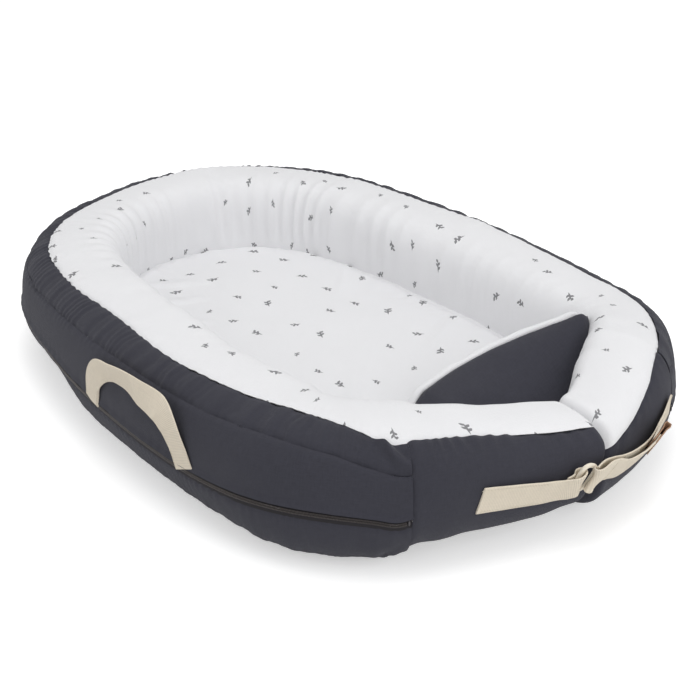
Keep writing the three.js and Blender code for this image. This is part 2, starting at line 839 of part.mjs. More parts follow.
function strapBase() {
  const half = halves.right;
  const bendPlaces = split(half.straight, strapSewnEnd, cornerSteps);
  const places = [foldStart + seamGap, ...bendPlaces, strapSewnEnd];
  return strapRibbon(half, places.map((distance) => [distance, backLayer]), webbingWidth, webbingThickness);
}

// The fold spans the place where the ends meet. Its turn follows the left end, where the ring lies.
function strapFold() {
  const turn = halfTurn(ringFar, ringLayer, (frontLayer - backLayer) / 2, -1);
  const places = [
    facePoint(halves.right, foldStart, backLayer),
    ...turn.map(([distance, standOff]) => facePoint(halves.left, distance, standOff)),
    facePoint(halves.right, foldStart, frontLayer),
  ];
  return flatRibbon(places, webbingWidth, webbingThickness);
}

// The tail lies on its patches and then stands away, with the leather tab on its end.
// Its places continue the straight front of the end.
const tailLean = tailLeanDegrees * degree;

function tailPoint(run, standOff) {
  const along = tailBend + run * Math.cos(tailLean) - standOff * Math.sin(tailLean);
  return facePoint(halves.right, along, tailLayer + run * Math.sin(tailLean) + standOff * Math.cos(tailLean));
}

function strapTail() {
  const places = [
    facePoint(halves.right, foldStart + seamGap, frontLayer),
    facePoint(halves.right, patchStart / 2, (frontLayer + tailLayer) / 2),
    facePoint(halves.right, patchStart, tailLayer),
    facePoint(halves.right, tailBend, tailLayer),
    tailPoint(tailFree, 0),
  ];
  return flatRibbon(places, webbingWidth, webbingThickness);
}

function patch(layer) {
  const line = [[patchStart, layer], [patchEnd, layer]];
  return strapRibbon(halves.right, line, webbingWidth - webbingThickness, patchThickness);
}

// Leather tab: one strip folded round the end of the tail, with a leaf in front and a leaf behind.
function leatherTab() {
  const leaf = webbingThickness / 2 + clearance + tabThickness / 2;
  const start = tailFree - tabOverlap;
  const bend = start + tabLength - leaf;
  const turn = halfTurn(bend, 0, leaf, -1);
  const line = [[start, -leaf], ...turn, [start, leaf]];
  return flatRibbon(line.map(([run, standOff]) => tailPoint(run, standOff)), tabWidth, tabThickness);
}

// Zip slider, where the right side meets the round head: a channel over the teeth with a crown, and a
// pull hung in the crown.
function toManifold(geometry) {
  const bare = geometry.clone();
  bare.deleteAttribute('normal');
  bare.deleteAttribute('uv');
  const merged = mergeVertices(bare);
  const triVerts = new Uint32Array(merged.index.array);
  const vertProperties = new Float32Array(merged.attributes.position.array);
  return new wasm.Manifold(new wasm.Mesh({ numProp: 3, vertProperties, triVerts }));
}

function fromManifold(solid) {
  const { vertProperties, triVerts } = solid.getMesh();
  const geometry = new THREE.BufferGeometry();
  geometry.setAttribute('position', new THREE.Float32BufferAttribute(Array.from(vertProperties), 3));
  geometry.setIndex(Array.from(triVerts));
  geometry.computeVertexNormals();
  return geometry;
}

function extrudeOutline(corners, depth, holes = []) {
  const shape = new THREE.Shape(corners.map(([x, y]) => new THREE.Vector2(x, y)));
  holes.forEach((hole) => shape.holes.push(new THREE.Path(hole.map(([x, y]) => new THREE.Vector2(x, y)))));
  const geometry = new THREE.ExtrudeGeometry(shape, { depth, bevelEnabled: false });
  return geometry.translate(0, 0, -depth / 2);
}

const sliderSpot = station(halves.right, halves.right.ends[2] + sliderStart);
const sliderOut = new THREE.Vector3(-sliderSpot.square.x, -sliderSpot.square.y, 0);
const sliderAlong = upright.clone().cross(sliderOut);
const sliderFrame = new THREE.Matrix4()
  .makeBasis(sliderOut, upright, sliderAlong.clone().negate())
  .setPosition(sliderSpot.point.x, sliderSpot.point.y, zipHeight);
const plateIn = zipCoilRise + clearance;
const plateOut = plateIn + sliderPlate;
const crownTop = plateOut + crownRise;
const pinPlace = plateOut + (crownRise - crownWire) / 2;

// In the slider's own frame x points out of the side, y up and z along the zip.
function zipSlider() {
  const [wide, slim] = [sliderWidth / 2, sliderRecessWidth / 2];
  const channel = extrudeOutline([
    [clearance, slim],
    [plateIn, slim],
    [plateIn, -slim],
    [clearance, -slim],
    [clearance, -wide],
    [plateOut, -wide],
    [plateOut, wide],
    [clearance, wide],
  ], sliderLength);
  const overrun = sliderPlate / 2;
  const half = crownLength / 2;
  const crown = extrudeOutline([
    [-half, -overrun],
    [half, -overrun],
    [half, crownRise],
    [-half, crownRise],
  ], crownWidth, [[
    [-half + crownWire, 0],
    [-half + crownWire, crownRise - crownWire],
    [half - crownWire, crownRise - crownWire],
    [half - crownWire, 0],
  ]]);
  crown.applyMatrix4(new THREE.Matrix4().makeBasis(
    new THREE.Vector3(0, 0, 1),
    new THREE.Vector3(1, 0, 0),
    new THREE.Vector3(0, 1, 0),
  ).setPosition(plateOut, 0, 0));
  return fromManifold(toManifold(channel).add(toManifold(crown))).applyMatrix4(sliderFrame);
}

// The pull is a flat tab with an eye. The eye's end bar passes through the crown.
function zipPull() {
  const bar = pullThickness;
  const eyeHalf = crownWidth / 2 + clearance;
  const [neck, wide] = [eyeHalf + bar, pullWidth / 2];
  const pullEye = Math.hypot(crownTop - pinPlace, crownLength / 2) + clearance - bar / 2;
  const corner = pullRoundness / 2;
  const outline = [
    [-bar / 2, -neck],
    [pullEye + bar, -neck],
    [pullLength - pullRoundness, -wide],
    [pullLength - corner / 2, -wide + corner / 2],
    [pullLength, -wide + pullRoundness / 2],
    [pullLength, wide - pullRoundness / 2],
    [pullLength - corner / 2, wide - corner / 2],
    [pullLength - pullRoundness, wide],
    [pullEye + bar, neck],
    [-bar / 2, neck],
  ];
  const eye = [
    [bar / 2, -eyeHalf],
    [bar / 2 + pullEye, -eyeHalf],
    [bar / 2 + pullEye, eyeHalf],
    [bar / 2, eyeHalf],
  ];
  const pull = extrudeOutline(outline, pullThickness, [eye]);
  pull.applyMatrix4(new THREE.Matrix4().makeBasis(
    new THREE.Vector3(0, 0, 1),
    new THREE.Vector3(0, 1, 0),
    new THREE.Vector3(-1, 0, 0),
  ).setPosition(pinPlace, 0, 0));
  return pull.applyMatrix4(sliderFrame);
}

// Finishes.
const finishes = {
  outer: { color: 0x3f4049, roughness: 0.9, metalness: 0 },
  liner: { color: 0xe9e9ea, roughness: 0.85, metalness: 0 },
  webbing: { color: 0xdcd3c4, roughness: 0.9, metalness: 0 },
  leather: { color: 0x94765f, roughness: 0.6, metalness: 0 },
  stuffing: { color: 0xf4f2ec, roughness: 1, metalness: 0 },
  foam: { color: 0xf1e8c8, roughness: 1, metalness: 0 },
  zip: { color: 0x1d1d21, roughness: 0.6, metalness: 0 },
  metal: { color: 0x3a3a3e, roughness: 0.35, metalness: 1 },
  ring: { color: 0xdfd5c3, roughness: 0.5, metalness: 0 },
  hook: { color: 0xcfc5b2, roughness: 1, metalness: 0 },
};

const group = new THREE.Group();

function piece(name, finish, geometry) {
  const mesh = new THREE.Mesh(geometry, new THREE.MeshStandardMaterial(finishes[finish]));
  mesh.name = name;
  group.add(mesh);
}

piece('base_cloth', 'outer', baseSheet());
piece('mattress_pad', 'foam', mattressPad());
piece('floor_liner', 'liner', floorLiner());
piece('bolster_core', 'stuffing', bolsterCore());
piece('wall_liner', 'liner', wallLiner());
piece('upper_band', 'outer', upperBand());
piece('side_panel', 'outer', sidePanel());
piece('lower_band', 'outer', lowerBand());
piece('zip_tape_upper', 'zip', zipTape(coilHigh, zipHigh));
piece('zip_tape_lower', 'zip', zipTape(zipLow, coilLow));
piece('zip_coil', 'zip', zipCoil());
piece('zip_stop_left', 'metal', zipStop(halves.left));
piece('zip_stop_right', 'metal', zipStop(halves.right));
piece('zip_slider', 'metal', zipSlider());
piece('zip_pull', 'metal', zipPull());
piece('foot_panel_cover', 'outer', panelCover());
piece('foot_panel_pad', 'foam', panelPad());
piece('foot_panel_hem', 'liner', panelHem());
const handleRises = { left: 1, right: -1 };
for (const [name, half] of Object.entries(halves)) {
  piece(`end_core_${name}`, 'stuffing', endCore(half));
  piece(`end_cover_${name}`, 'outer', endCover(half));
  piece(`end_liner_${name}`, 'liner', endLiner(half));
  piece(`handle_${name}`, 'webbing', handle(half, handleRises[name]));
}
piece('strap_short', 'webbing', shortStrap());
piece('strap_ring', 'ring', strapRing());
piece('strap_base', 'webbing', strapBase());
piece('strap_fold', 'webbing', strapFold());
piece('strap_tail', 'webbing', strapTail());
piece('loop_patch', 'hook', patch(backLayer + webbingThickness / 2 + clearance + patchThickness / 2));
piece('hook_patch', 'hook', patch(tailLayer - webbingThickness / 2 - clearance - patchThickness / 2));
piece('leather_tab', 'leather', leatherTab());

export default group;
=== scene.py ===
# %% [markdown]
# # A padded nest for an infant
#
# The nest is a stuffed rim in the shape of a U whose two free ends meet at the foot. A dark cotton cover is
# sewn round the outside, white cotton lies over the crest and the inner wall, and a strap closes the foot.
# This lesson dresses the bare construction model: each cell first says what a piece is and how it could be
# made, then makes it. All sizes are metres, +Z is up and +Y points to the head.

# %% Load the construction model
import math

import bmesh
import bpy
import numpy as np
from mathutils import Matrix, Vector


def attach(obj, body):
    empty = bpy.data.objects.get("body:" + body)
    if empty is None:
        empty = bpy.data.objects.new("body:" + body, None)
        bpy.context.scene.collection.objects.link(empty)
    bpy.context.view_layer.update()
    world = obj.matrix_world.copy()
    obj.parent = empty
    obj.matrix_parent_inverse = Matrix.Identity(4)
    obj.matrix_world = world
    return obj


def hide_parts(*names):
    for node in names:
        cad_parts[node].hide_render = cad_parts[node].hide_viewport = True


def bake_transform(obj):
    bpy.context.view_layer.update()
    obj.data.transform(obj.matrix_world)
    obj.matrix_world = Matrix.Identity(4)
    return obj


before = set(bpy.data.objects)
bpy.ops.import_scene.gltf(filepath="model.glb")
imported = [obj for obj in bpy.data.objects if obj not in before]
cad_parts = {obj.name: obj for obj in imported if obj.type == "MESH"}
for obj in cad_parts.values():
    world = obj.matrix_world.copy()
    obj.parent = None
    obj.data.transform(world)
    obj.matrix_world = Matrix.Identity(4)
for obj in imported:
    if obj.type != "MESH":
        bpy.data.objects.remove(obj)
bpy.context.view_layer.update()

# %% [markdown]
# ## Driving sizes
#
# Every soft surface here follows the same rim, so its plan and its section are written once. The numbers are
# the real sizes of the nest, and everything below is worked out from them.

# %% Sizes of the rim
NEST_LENGTH = 0.880
HALF_WIDTH = 0.308
WIDEST_PLACE = -0.060
HEAD_RADIUS = 0.280
CORNER_RADIUS = 0.210
FOOT_SLOPE = math.radians(12.6)
TIP_OFFSET = 0.016
END_LENGTH = 0.192

RIM_HEIGHT = 0.150
RIM_LIFT = 0.0006
OUTER_HALF = 0.076
INNER_HALF = 0.049
OUTER_POWER = 2.5
INNER_POWER = 3.4
TIP_WIDTH_LOSS = 0.10
TIP_HEIGHT_LOSS = 0.31
TIP_LIFT = 0.011
TIP_ROUNDING = 0.016
TIP_POWER = 2.8
TIP_GAP = 0.0006
TIP_LEAN = 0.024
LEAN_FROM, LEAN_RISE, LEAN_REACH = 0.056, 0.050, 0.16

BOTTOM_SEAM = math.radians(-88)
FLOOR_SEAM = math.radians(206)
END_LINER = math.radians(268)
CLOTH = 0.0012
ZIP_HEIGHT = 0.065

# %% [markdown]
# ## Tools for soft surfaces
#
# A soft surface could be sculpted, but then it could not be changed by a number. Here it is a grid of points
# worked out as whole arrays: a shape function gives the smooth form, and folds are added along its normals.
# Random waves come from fixed tables, so the cloth folds the same way every time.


# %% Random waves and folds
WAVE_TABLE = 512
RIPPLE_TABLE = 128
GATHER_STEADY = 0.62


def ease(x):
    """0 below 0, 1 above 1, and 3x^2 - 2x^3 between."""
    t = np.clip(x, 0, 1)
    return t * t * (3 - 2 * t)


def bell(x, width, power=2):
    """A bell, exp(-(x / width)^power): 1 at 0 and almost nothing beyond twice its width."""
    return np.exp(-((x / width) ** power))


def partly(steady, varying):
    """steady + (1 - steady) * varying: a strength of which only a part varies."""
    return steady + (1 - steady) * varying


def wave(x, pitch, seed):
    """A random wave from -1 to 1: a new height every pitch, joined smoothly."""
    table = np.random.default_rng(seed).uniform(-1, 1, WAVE_TABLE)
    at = np.asarray(x) / pitch + WAVE_TABLE / 4
    low = np.floor(at).astype(int)
    share = ease(at - low)
    return table[low % WAVE_TABLE] * (1 - share) + table[(low + 1) % WAVE_TABLE] * share


def ripple(x, y, pitch_x, pitch_y, seed):
    """A random surface from -1 to 1 over the plane, with its own pitch each way."""
    table = np.random.default_rng(seed).uniform(-1, 1, (RIPPLE_TABLE, RIPPLE_TABLE))
    at_x, at_y = np.asarray(x) / pitch_x + RIPPLE_TABLE / 2, np.asarray(y) / pitch_y + RIPPLE_TABLE / 2
    i, j = np.floor(at_x).astype(int), np.floor(at_y).astype(int)
    a, b = ease(at_x - i), ease(at_y - j)
    i, j, k, m = i % RIPPLE_TABLE, j % RIPPLE_TABLE, (i + 1) % RIPPLE_TABLE, (j + 1) % RIPPLE_TABLE
    low = table[i, j] * (1 - a) + table[k, j] * a
    high = table[i, m] * (1 - a) + table[k, m] * a
    return low * (1 - b) + high * b


def ripples(x, y, layers):
    """The sum of several random surfaces, each one given as (height, pitch along x, pitch along y, seed)."""
    return sum(height * ripple(x, y, *pitches_and_seed) for height, *pitches_and_seed in layers)


def along_points(x, table):
    """A smooth curve through a few points (place, value): cubic Hermite pieces, level beyond the ends."""
    place, value = np.array(table, float).T
    slope = np.gradient(value, place)
    i = np.clip(np.searchsorted(place, x) - 1, 0, len(place) - 2)
    step = place[i + 1] - place[i]
    f = np.clip((x - place[i]) / step, 0, 1)
    ends = (2 * f**3 - 3 * f**2 + 1) * value[i] + (3 * f**2 - 2 * f**3) * value[i + 1]
    return ends + ((f**3 - 2 * f**2 + f) * slope[i] + (f**3 - f**2) * slope[i + 1]) * step


def gathers(x, pitch, seed, sharp):
    """Gathered cloth along x, 0 in the valleys and 1 on the folds: a cosine of uneven pitch and height,
    raised to the power sharp."""
    phase = np.asarray(x) / pitch + 0.9 * wave(x, 3.1 * pitch, seed)
    folds = (0.5 + 0.5 * np.cos(2 * np.pi * phase)) ** sharp
    return folds * partly(GATHER_STEADY, wave(x, 2.3 * pitch, seed + 1))


def crease(x, y, start, end, width, height):
    """One long fold from start to end: a bell across its line, steep on one side, that rises and fades along
    the line."""
    (x0, y0), (x1, y1) = start, end
    length = math.hypot(x1 - x0, y1 - y0)
    along = ((x - x0) * (x1 - x0) + (y - y0) * (y1 - y0)) / length**2
    across = ((x - x0) * (y1 - y0) - (y - y0) * (x1 - x0)) / length
    rise = np.sin(np.pi * np.clip(along, 0, 1)) ** 0.7
    spread = np.where(across > 0, 0.45 * width, width)
    return height * rise * bell(across, spread)


# %% Grids of points and the meshes they become
def grid_normals(points):
    """Unit normals of a grid: the cross product of its two directions."""
    normal = np.cross(np.gradient(points, axis=0), np.gradient(points, axis=1))
    size = np.linalg.norm(normal, axis=2, keepdims=True)
    return normal / np.maximum(size, 1e-12)


def outward(points, middle):
    """The normals that point away from middle, which is a point or an array of points."""
    normal = grid_normals(points)
    sign = np.sign(np.sum(normal * (points - middle)))
    return normal * sign


def quads_of(rows, columns, first=0, wrap=False):
    """The four corners of every cell of a grid of points."""
    index = first + np.arange(rows * columns).reshape(rows, columns)
    if wrap:
        index = np.hstack([index, index[:, :1]])
    return np.stack([index[:-1, :-1], index[1:, :-1], index[1:, 1:], index[:-1, 1:]], -1).reshape(-1, 4)


def make_object(name, points, faces, uv=None, sharp=None):
    """A mesh object from points and lists of corners, smooth shaded, with its faces turned outward."""
    mesh = bpy.data.meshes.new(name)
    mesh.from_pydata(points.tolist(), [], faces)
    if uv is not None:
        layer = mesh.uv_layers.new(name="cloth")
        corners = np.zeros(len(mesh.loops), np.int32)
        mesh.loops.foreach_get("vertex_index", corners)
        layer.data.foreach_set("uv", uv[corners].astype(np.float32).ravel())
    work = bmesh.new()
    work.from_mesh(mesh)
    bmesh.ops.remove_doubles(work, verts=work.verts, dist=1e-6)
    bmesh.ops.recalc_face_normals(work, faces=work.faces)
    work.to_mesh(mesh)
    work.free()
    mesh.shade_smooth()
    if sharp is not None:
        mesh.set_sharp_from_angle(angle=sharp)
    item = bpy.data.objects.new(name, mesh)
    bpy.context.scene.collection.objects.link(item)
    print(name, "faces", len(mesh.polygons))
    return item


def cloth_piece(name, points, normal, uv, thickness=CLOTH):
    """A closed shell of cloth: the grid, the same grid one thickness inside, and quads round its edges."""
    rows, columns = points.shape[:2]
    inner = points - normal * thickness
    count = rows * columns
    index = np.arange(count).reshape(rows, columns)
    rim = np.concatenate([index[0, :-1], index[:-1, -1], index[-1, :0:-1], index[:0:-1, 0]])
    after = np.roll(rim, -1)
    sides = np.stack([rim, after, after + count, rim + count], -1)
    faces = np.concatenate([quads_of(rows, columns), quads_of(rows, columns, count)[:, ::-1], sides])
    both = np.concatenate([points.reshape(-1, 3), inner.reshape(-1, 3)])
    flat = uv.reshape(-1, 2)
    return make_object(name, both, faces.tolist(), np.concatenate([flat, flat]), sharp=math.radians(50))


def tube_piece(name, rings, uv=None, closed_run=False, sharp=None):
    """A solid from a run of closed rings. An open run gets a flat face on each end."""
    count, size = rings.shape[:2]
    if closed_run:
        rings = np.concatenate([rings, rings[:1]])
        count += 1
    faces = quads_of(count, size, wrap=True).tolist()
    flat_uv = None if uv is None else uv.reshape(-1, 2)
    mesh_points = rings.reshape(-1, 3)
    if closed_run:
        return make_object(name, mesh_points, faces, flat_uv, sharp)
    middle = np.stack([rings[0].mean(0), rings[-1].mean(0)])
    ring = np.arange(size)
    hub = count * size
    for first, centre in ((0, hub), (hub - size, hub + 1)):
        corner = first + ring
        faces = faces + np.stack([corner, np.roll(corner, -1), np.full(size, centre)], -1).tolist()
    if flat_uv is not None:
        flat_uv = np.concatenate([flat_uv, flat_uv[:1], flat_uv[-1:]])
    return make_object(name, np.concatenate([mesh_points, middle]), faces, flat_uv, sharp)


# %% [markdown]
# ## The plan of the rim
#
# Seen from above, each half of the rim's outline is one straight and three arcs that run into each other
# without a kink: the free end, the foot corner, the long side and the head. Drawing it by eye would put
# wobbles into the highlights, so the arcs are solved from their radii.


# %% Outline of one half
SIDE_RISE = NEST_LENGTH / 2 - HEAD_RADIUS - WIDEST_PLACE


def half_plan(hand):
    """Straight and arcs of one half, worked out on the right and mirrored for the left (hand -1)."""
    side_radius = (HALF_WIDTH**2 + SIDE_RISE**2 - HEAD_RADIUS**2) / (2 * (HALF_WIDTH - HEAD_RADIUS))
    side_centre = np.array([HALF_WIDTH - side_radius, WIDEST_PLACE])
    tip = np.array([hand * TIP_OFFSET, -NEST_LENGTH / 2])
    along = np.array([math.cos(FOOT_SLOPE), math.sin(FOOT_SLOPE)])
    inward = np.array([-along[1], along[0]])
    start = tip + inward * CORNER_RADIUS - side_centre
    lean = start @ along
    straight = -lean + math.sqrt(lean**2 - start @ start + (side_radius - CORNER_RADIUS) ** 2)
    corner_centre = start + along * straight + side_centre
    head_centre = np.array([0, NEST_LENGTH / 2 - HEAD_RADIUS])
    corner_angle = math.atan2(*(corner_centre - side_centre)[::-1])
    head_angle = math.atan2(*(head_centre - side_centre)[::-1])
    arcs = [
        (corner_centre, CORNER_RADIUS, FOOT_SLOPE - math.pi / 2, corner_angle),
        (side_centre, side_radius, corner_angle, head_angle),
        (head_centre, HEAD_RADIUS, head_angle, math.pi / 2),
    ]
    ends = np.cumsum([straight] + [radius * (b - a) for _, radius, a, b in arcs])
    seam = END_LENGTH - hand * TIP_OFFSET
    return {
        "hand": hand,
        "tip": tip,
        "along": along,
        "inward": inward,
        "arcs": arcs,
        "ends": ends,
        "seam": seam,
    }


LEFT, RIGHT = half_plan(-1), half_plan(1)
PLANS = {"left": LEFT, "right": RIGHT}
LEFT_RUN, RIGHT_RUN = LEFT["ends"][-1], RIGHT["ends"][-1]
print("outline, left and right:", round(LEFT_RUN, 3), round(RIGHT_RUN, 3))


# By the distance from a half's tip: how far the rim lifts off the floor, what its outer half and its height
# lose, what its underside is drawn in, and the share that is left of its inner half. The left half is first.
END_RAISE = (
    [
        (0, 0.013), (0.02, 0.012), (0.05, 0.009), (0.105, 0.009), (0.14, 0.012), (0.17, 0.014),
        (0.203, 0.0135), (0.213, 0.007), (0.224, 0.0008), (0.24, 0),
    ],
    [(0, 0.002), (0.06, 0.002), (0.085, 0.004), (0.12, 0.0075), (0.16, 0.008), (0.19, 0.007), (0.23, 0)],
)
OUTER_TRIM = (
    [(0, 0.0), (0.08, 0.001), (0.14, 0.003), (0.20, 0.002), (0.30, 0.0), (0.70, 0.0), (1.0, 0.0)],
    [(0, 0.0), (0.08, 0.0005), (0.15, 0.005), (0.22, 0.0085), (0.30, 0.004), (0.45, 0.002), (1.0, 0.0)],
)
TOP_TRIM = (
    [(0, 0.0), (0.30, 0.0), (0.85, 0.0), (1.05, 0.005), (1.15, 0.008), (1.24, 0.004)],
    [(0, 0.0), (0.25, 0.0), (0.38, 0.005), (0.52, 0.006), (0.66, 0.005), (0.85, 0.0015), (1.21, 0.004)],
)
UNDER_TRIM = (
    [(0, 0.0), (0.42, 0.0), (0.50, 0.002), (0.60, 0.003), (0.72, 0.004), (0.81, 0.011), (0.92, 0.0)],
    [(0, 0.0), (1.0, 0.0)],
)
INNER_SHARE = (
    [(0, 0.40), (0.05, 0.46), (0.10, 0.70), (0.15, 0.90), (0.20, 1.0), (1.0, 1.0)],
    [(0, 0.34), (0.05, 0.4), (0.10, 0.66), (0.15, 0.74), (0.22, 0.7), (0.30, 0.86), (0.40, 1.0), (1.0, 1.0)],
)
# Near the corner seam the white cloth's lower edge changes over from the floor seam to the end's underside.
DROP_PAST_SEAM, DROP_RUN = 0.03, 0.05


def half_station(plan, distance):
    """Outline points at distances from the tip, with the direction in which insets are measured there."""
    d = np.asarray(distance, float)[:, None]
    share = 1 - np.clip(d, 0, None) / plan["ends"][0]
    mitre = np.array([0, 1 / math.cos(FOOT_SLOPE)])
    point = plan["tip"] + plan["along"] * d
    inset = plan["inward"] * (1 - share) + mitre * share
    for (centre, radius, first, _), before in zip(plan["arcs"], plan["ends"]):
        angle = first + (d - before) / radius
        out = np.hstack([np.cos(angle), np.sin(angle)])
        past = d > before
        point = np.where(past, centre + radius * out, point)
        inset = np.where(past, -out, inset)
    mirror = np.array([plan["hand"], 1])
    end_share = np.clip(1 - d[:, 0] / plan["seam"], 0, 1)
    on_end = ease((plan["seam"] + DROP_PAST_SEAM - d[:, 0]) / DROP_RUN)
    which = int(plan["hand"] > 0)
    return {
        "distance": d[:, 0],
        "point": point * mirror,
        "inset": inset * mirror,
        "end_share": end_share,
        "on_end": on_end,
        "raise": along_points(d[:, 0], END_RAISE[which]),
        "outer_trim": along_points(d[:, 0], OUTER_TRIM[which]),
        "top_trim": along_points(d[:, 0], TOP_TRIM[which]),
        "under_trim": along_points(d[:, 0], UNDER_TRIM[which]),
        "inner": INNER_HALF * along_points(d[:, 0], INNER_SHARE[which]),
        "lean": plan["hand"] * plan["along"] * mirror + 0 * point,
    }


def rim_station(s):
    """Stations by their distance s along the outline from the head's middle, negative to the left."""
    left = half_station(LEFT, LEFT_RUN + s)
    right = half_station(RIGHT, RIGHT_RUN - s)
    pick = np.asarray(s) <= 0
    chosen = {}
    for key, value in left.items():
        mask = pick[:, None] if value.ndim == 2 else pick
        chosen[key] = np.where(mask, value, right[key])
    return chosen


# Section angle in degrees of the white cloth's edge on either half and of the seam under the band, and what
# the zip rises above its height, by the distance along the outline from the tip of that half.
LEFT_EDGE = [
    (0, 44), (0.05, 46), (0.10, 52), (0.15, 55), (0.20, 53), (0.235, 56), (0.265, 66), (0.30, 74),
    (0.36, 77.5), (0.44, 71.5), (0.52, 67), (0.70, 67), (0.78, 61), (0.90, 59.5), (1.0, 63.5), (1.1, 68),
    (1.24, 70),
]
RIGHT_EDGE = [
    (0, 20), (0.05, 27), (0.11, 37), (0.15, 45), (0.20, 51), (0.32, 61), (0.50, 66), (0.7, 68), (0.9, 69),
    (1.21, 70),
]
BAND_SEAM = [
    (0.17, 26), (0.21, 28), (0.235, 34), (0.26, 39), (0.285, 44), (0.32, 47), (0.375, 48.5), (0.44, 45),
    (0.65, 40.5), (0.74, 37.5), (0.81, 34.5), (0.95, 31), (1.2, 32),
]
ZIP_RISE = [
    (0.19, -0.002), (0.215, -0.001), (0.25, 0.006), (0.29, 0.009), (0.34, 0.008), (0.45, 0.0), (0.60, 0.0),
]


def band_seam(at):
    """Angle of the seam under the gathered band: lower round the head and at the foot corners."""
    return np.radians(along_points(at["distance"], BAND_SEAM))


def liner_edge(s):
    """Angle at which the white cloth ends: it comes further down over the right end."""
    left = along_points(LEFT_RUN + s, LEFT_EDGE)
    right = along_points(RIGHT_RUN - s, RIGHT_EDGE)
    return np.radians(np.where(s <= 0, left, right))


# %% [markdown]
# ## The section of the rim
#
# Cut across, the stuffed rim is fuller outside than inside. A circle would look like a hose, so each side is
# a superellipse, |x/a|^p + |z/b|^p = 1, with its own width and power. Towards its tip a free end gets
# smaller, lifts off the floor and closes in a rounded cap. The strap pulls both tips a little to the right at
# the top.


# %% Points on the rim
UNDER_FADE = 0.6


def rim_surface(s, angle):
    """Points at the outline distances s (N) and the section angles (N, M), 90 degrees being the crest, and
    the middles of the sections."""
    at = rim_station(s)
    share = np.clip((TIP_ROUNDING + TIP_GAP - at["distance"]) / TIP_ROUNDING, 0, 1)
    shrink = (np.clip(1 - share**TIP_POWER, 1e-7, 1) ** (1 / TIP_POWER))[:, None]
    end_share = at["end_share"][:, None]
    width = OUTER_HALF * (1 - TIP_WIDTH_LOSS * end_share)
    lift = at["raise"][:, None]
    high = (RIM_HEIGHT - lift - at["top_trim"][:, None]) / 2 * (1 - TIP_HEIGHT_LOSS * end_share)
    middle_z = RIM_LIFT + lift + TIP_LIFT * end_share + high
    cos, sin = np.cos(angle), np.sin(angle)
    outer = cos >= 0
    full = width - at["outer_trim"][:, None] - at["under_trim"][:, None] * ease(-sin / UNDER_FADE)
    half = np.where(outer, full, at["inner"][:, None])
    power = np.where(outer, OUTER_POWER, INNER_POWER)
    reach = np.abs(cos) / (half * shrink)
    rise = np.abs(sin) / (high * shrink)
    r = (reach**power + rise**power) ** (-1 / power)
    inset = width - r * cos
    z = middle_z + r * sin
    lean = TIP_LEAN * ease((z - LEAN_FROM) / LEAN_RISE) * ease(1 - at["distance"] / LEAN_REACH)[:, None]
    plan = at["point"][:, None, :] + at["inset"][:, None, :] * inset[..., None]
    plan = plan + at["lean"][:, None, :] * lean[..., None]
    centre = np.concatenate([at["point"] + at["inset"] * width, middle_z], axis=1)
    return np.concatenate([plan, z[..., None]], axis=2), centre[:, None, :]


def zip_angle(s, above=0.0):
    """Section angle of the outer side at a height above the zip, from the superellipse."""
    high = RIM_HEIGHT / 2
    from_tip = np.where(s <= 0, LEFT_RUN + s, RIGHT_RUN - s)
    up = ZIP_HEIGHT + along_points(from_tip, ZIP_RISE) + above - RIM_LIFT - high
    out = OUTER_HALF * (1 - (np.abs(up) / high) ** OUTER_POWER) ** (1 / OUTER_POWER)
    return np.arctan2(up, out)


def metres_across(points):
    """Length walked along each row of a grid."""
    steps = np.linalg.norm(np.diff(points, axis=1), axis=2)
    return np.concatenate([np.zeros((len(points), 1)), np.cumsum(steps, axis=1)], axis=1)


def seam_dip(from_edge, depth, width):
    """A seam pulls the cloth in: a dip that is depth deep at the edge and fades over width."""
    return -depth * bell(from_edge, width)


def angles_between(first, last, columns):
    """Section angles in even steps from first to last, which change along the rim."""
    share = np.linspace(0, 1, columns)[None, :]
    return first[:, None] * (1 - share) + last[:, None] * share


def rim_cloth(s, angle):
    """A stretch of rim cloth: its points, the middles of the sections and the distances from either edge."""
    points, centre = rim_surface(s, angle)
    across = metres_across(points)
    return points, centre, across, across[:, -1:] - across


SEAM_LEFT, SEAM_RIGHT = LEFT["seam"] - LEFT_RUN, RIGHT_RUN - RIGHT["seam"]
TIP_LEFT, TIP_RIGHT = TIP_GAP - LEFT_RUN, RIGHT_RUN - TIP_GAP
SIDE_GATHERS, HEAD_RUN, END_RUN, END_LOSS = 0.34, 0.60, 0.04, 0.62
SCALLOP, SCALLOP_PITCH = math.radians(1.6), 0.017


def band_strength(s):
    """How hard the band is gathered: most round the head, less along the sides, least on the free ends."""
    on_end = ease((SEAM_LEFT - s) / END_RUN) + ease((s - SEAM_RIGHT) / END_RUN)
    return partly(SIDE_GATHERS, bell(s, HEAD_RUN, 4)) * (1 - END_LOSS * on_end)


def edge_scallop(s):
    """The white cloth's edge wanders a little where the gathers pull it, in radians."""
    return SCALLOP * (gathers(s, SCALLOP_PITCH, 41, 1.0) - 0.4) * band_strength(s)


# %% [markdown]
# ## Cloth that crosses the corner seams
#
# The two free ends swing open. Cloth that runs from the fixed nest into an end gets its placement baked into
# its mesh, and nothing bends it with the end past the corner seam.


def bend_with(item):
    """Bakes the piece's placement into its mesh; it is not blended into an end."""
    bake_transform(item)


# %% [markdown]
# ## Finishes
#
# Close up, woven cotton is a grid of threads with a little difference from thread to thread, so a flat colour
# looks like plastic. Each cloth reads its own map in metres, which lets the weave follow the surface round
# the rim. The weave lifts the cloth a little, the gaps between its threads get painted shade, and slow noise
# gives uneven dye and wear.


# %% Node helpers
def new_material(name):
    """An empty node material with its shader; returns the material, its nodes, its links and the shader."""
    material = bpy.data.materials.new(name)
    material.use_nodes = True
    tree = material.node_tree
    return material, tree.nodes, tree.links, tree.nodes["Principled BSDF"]


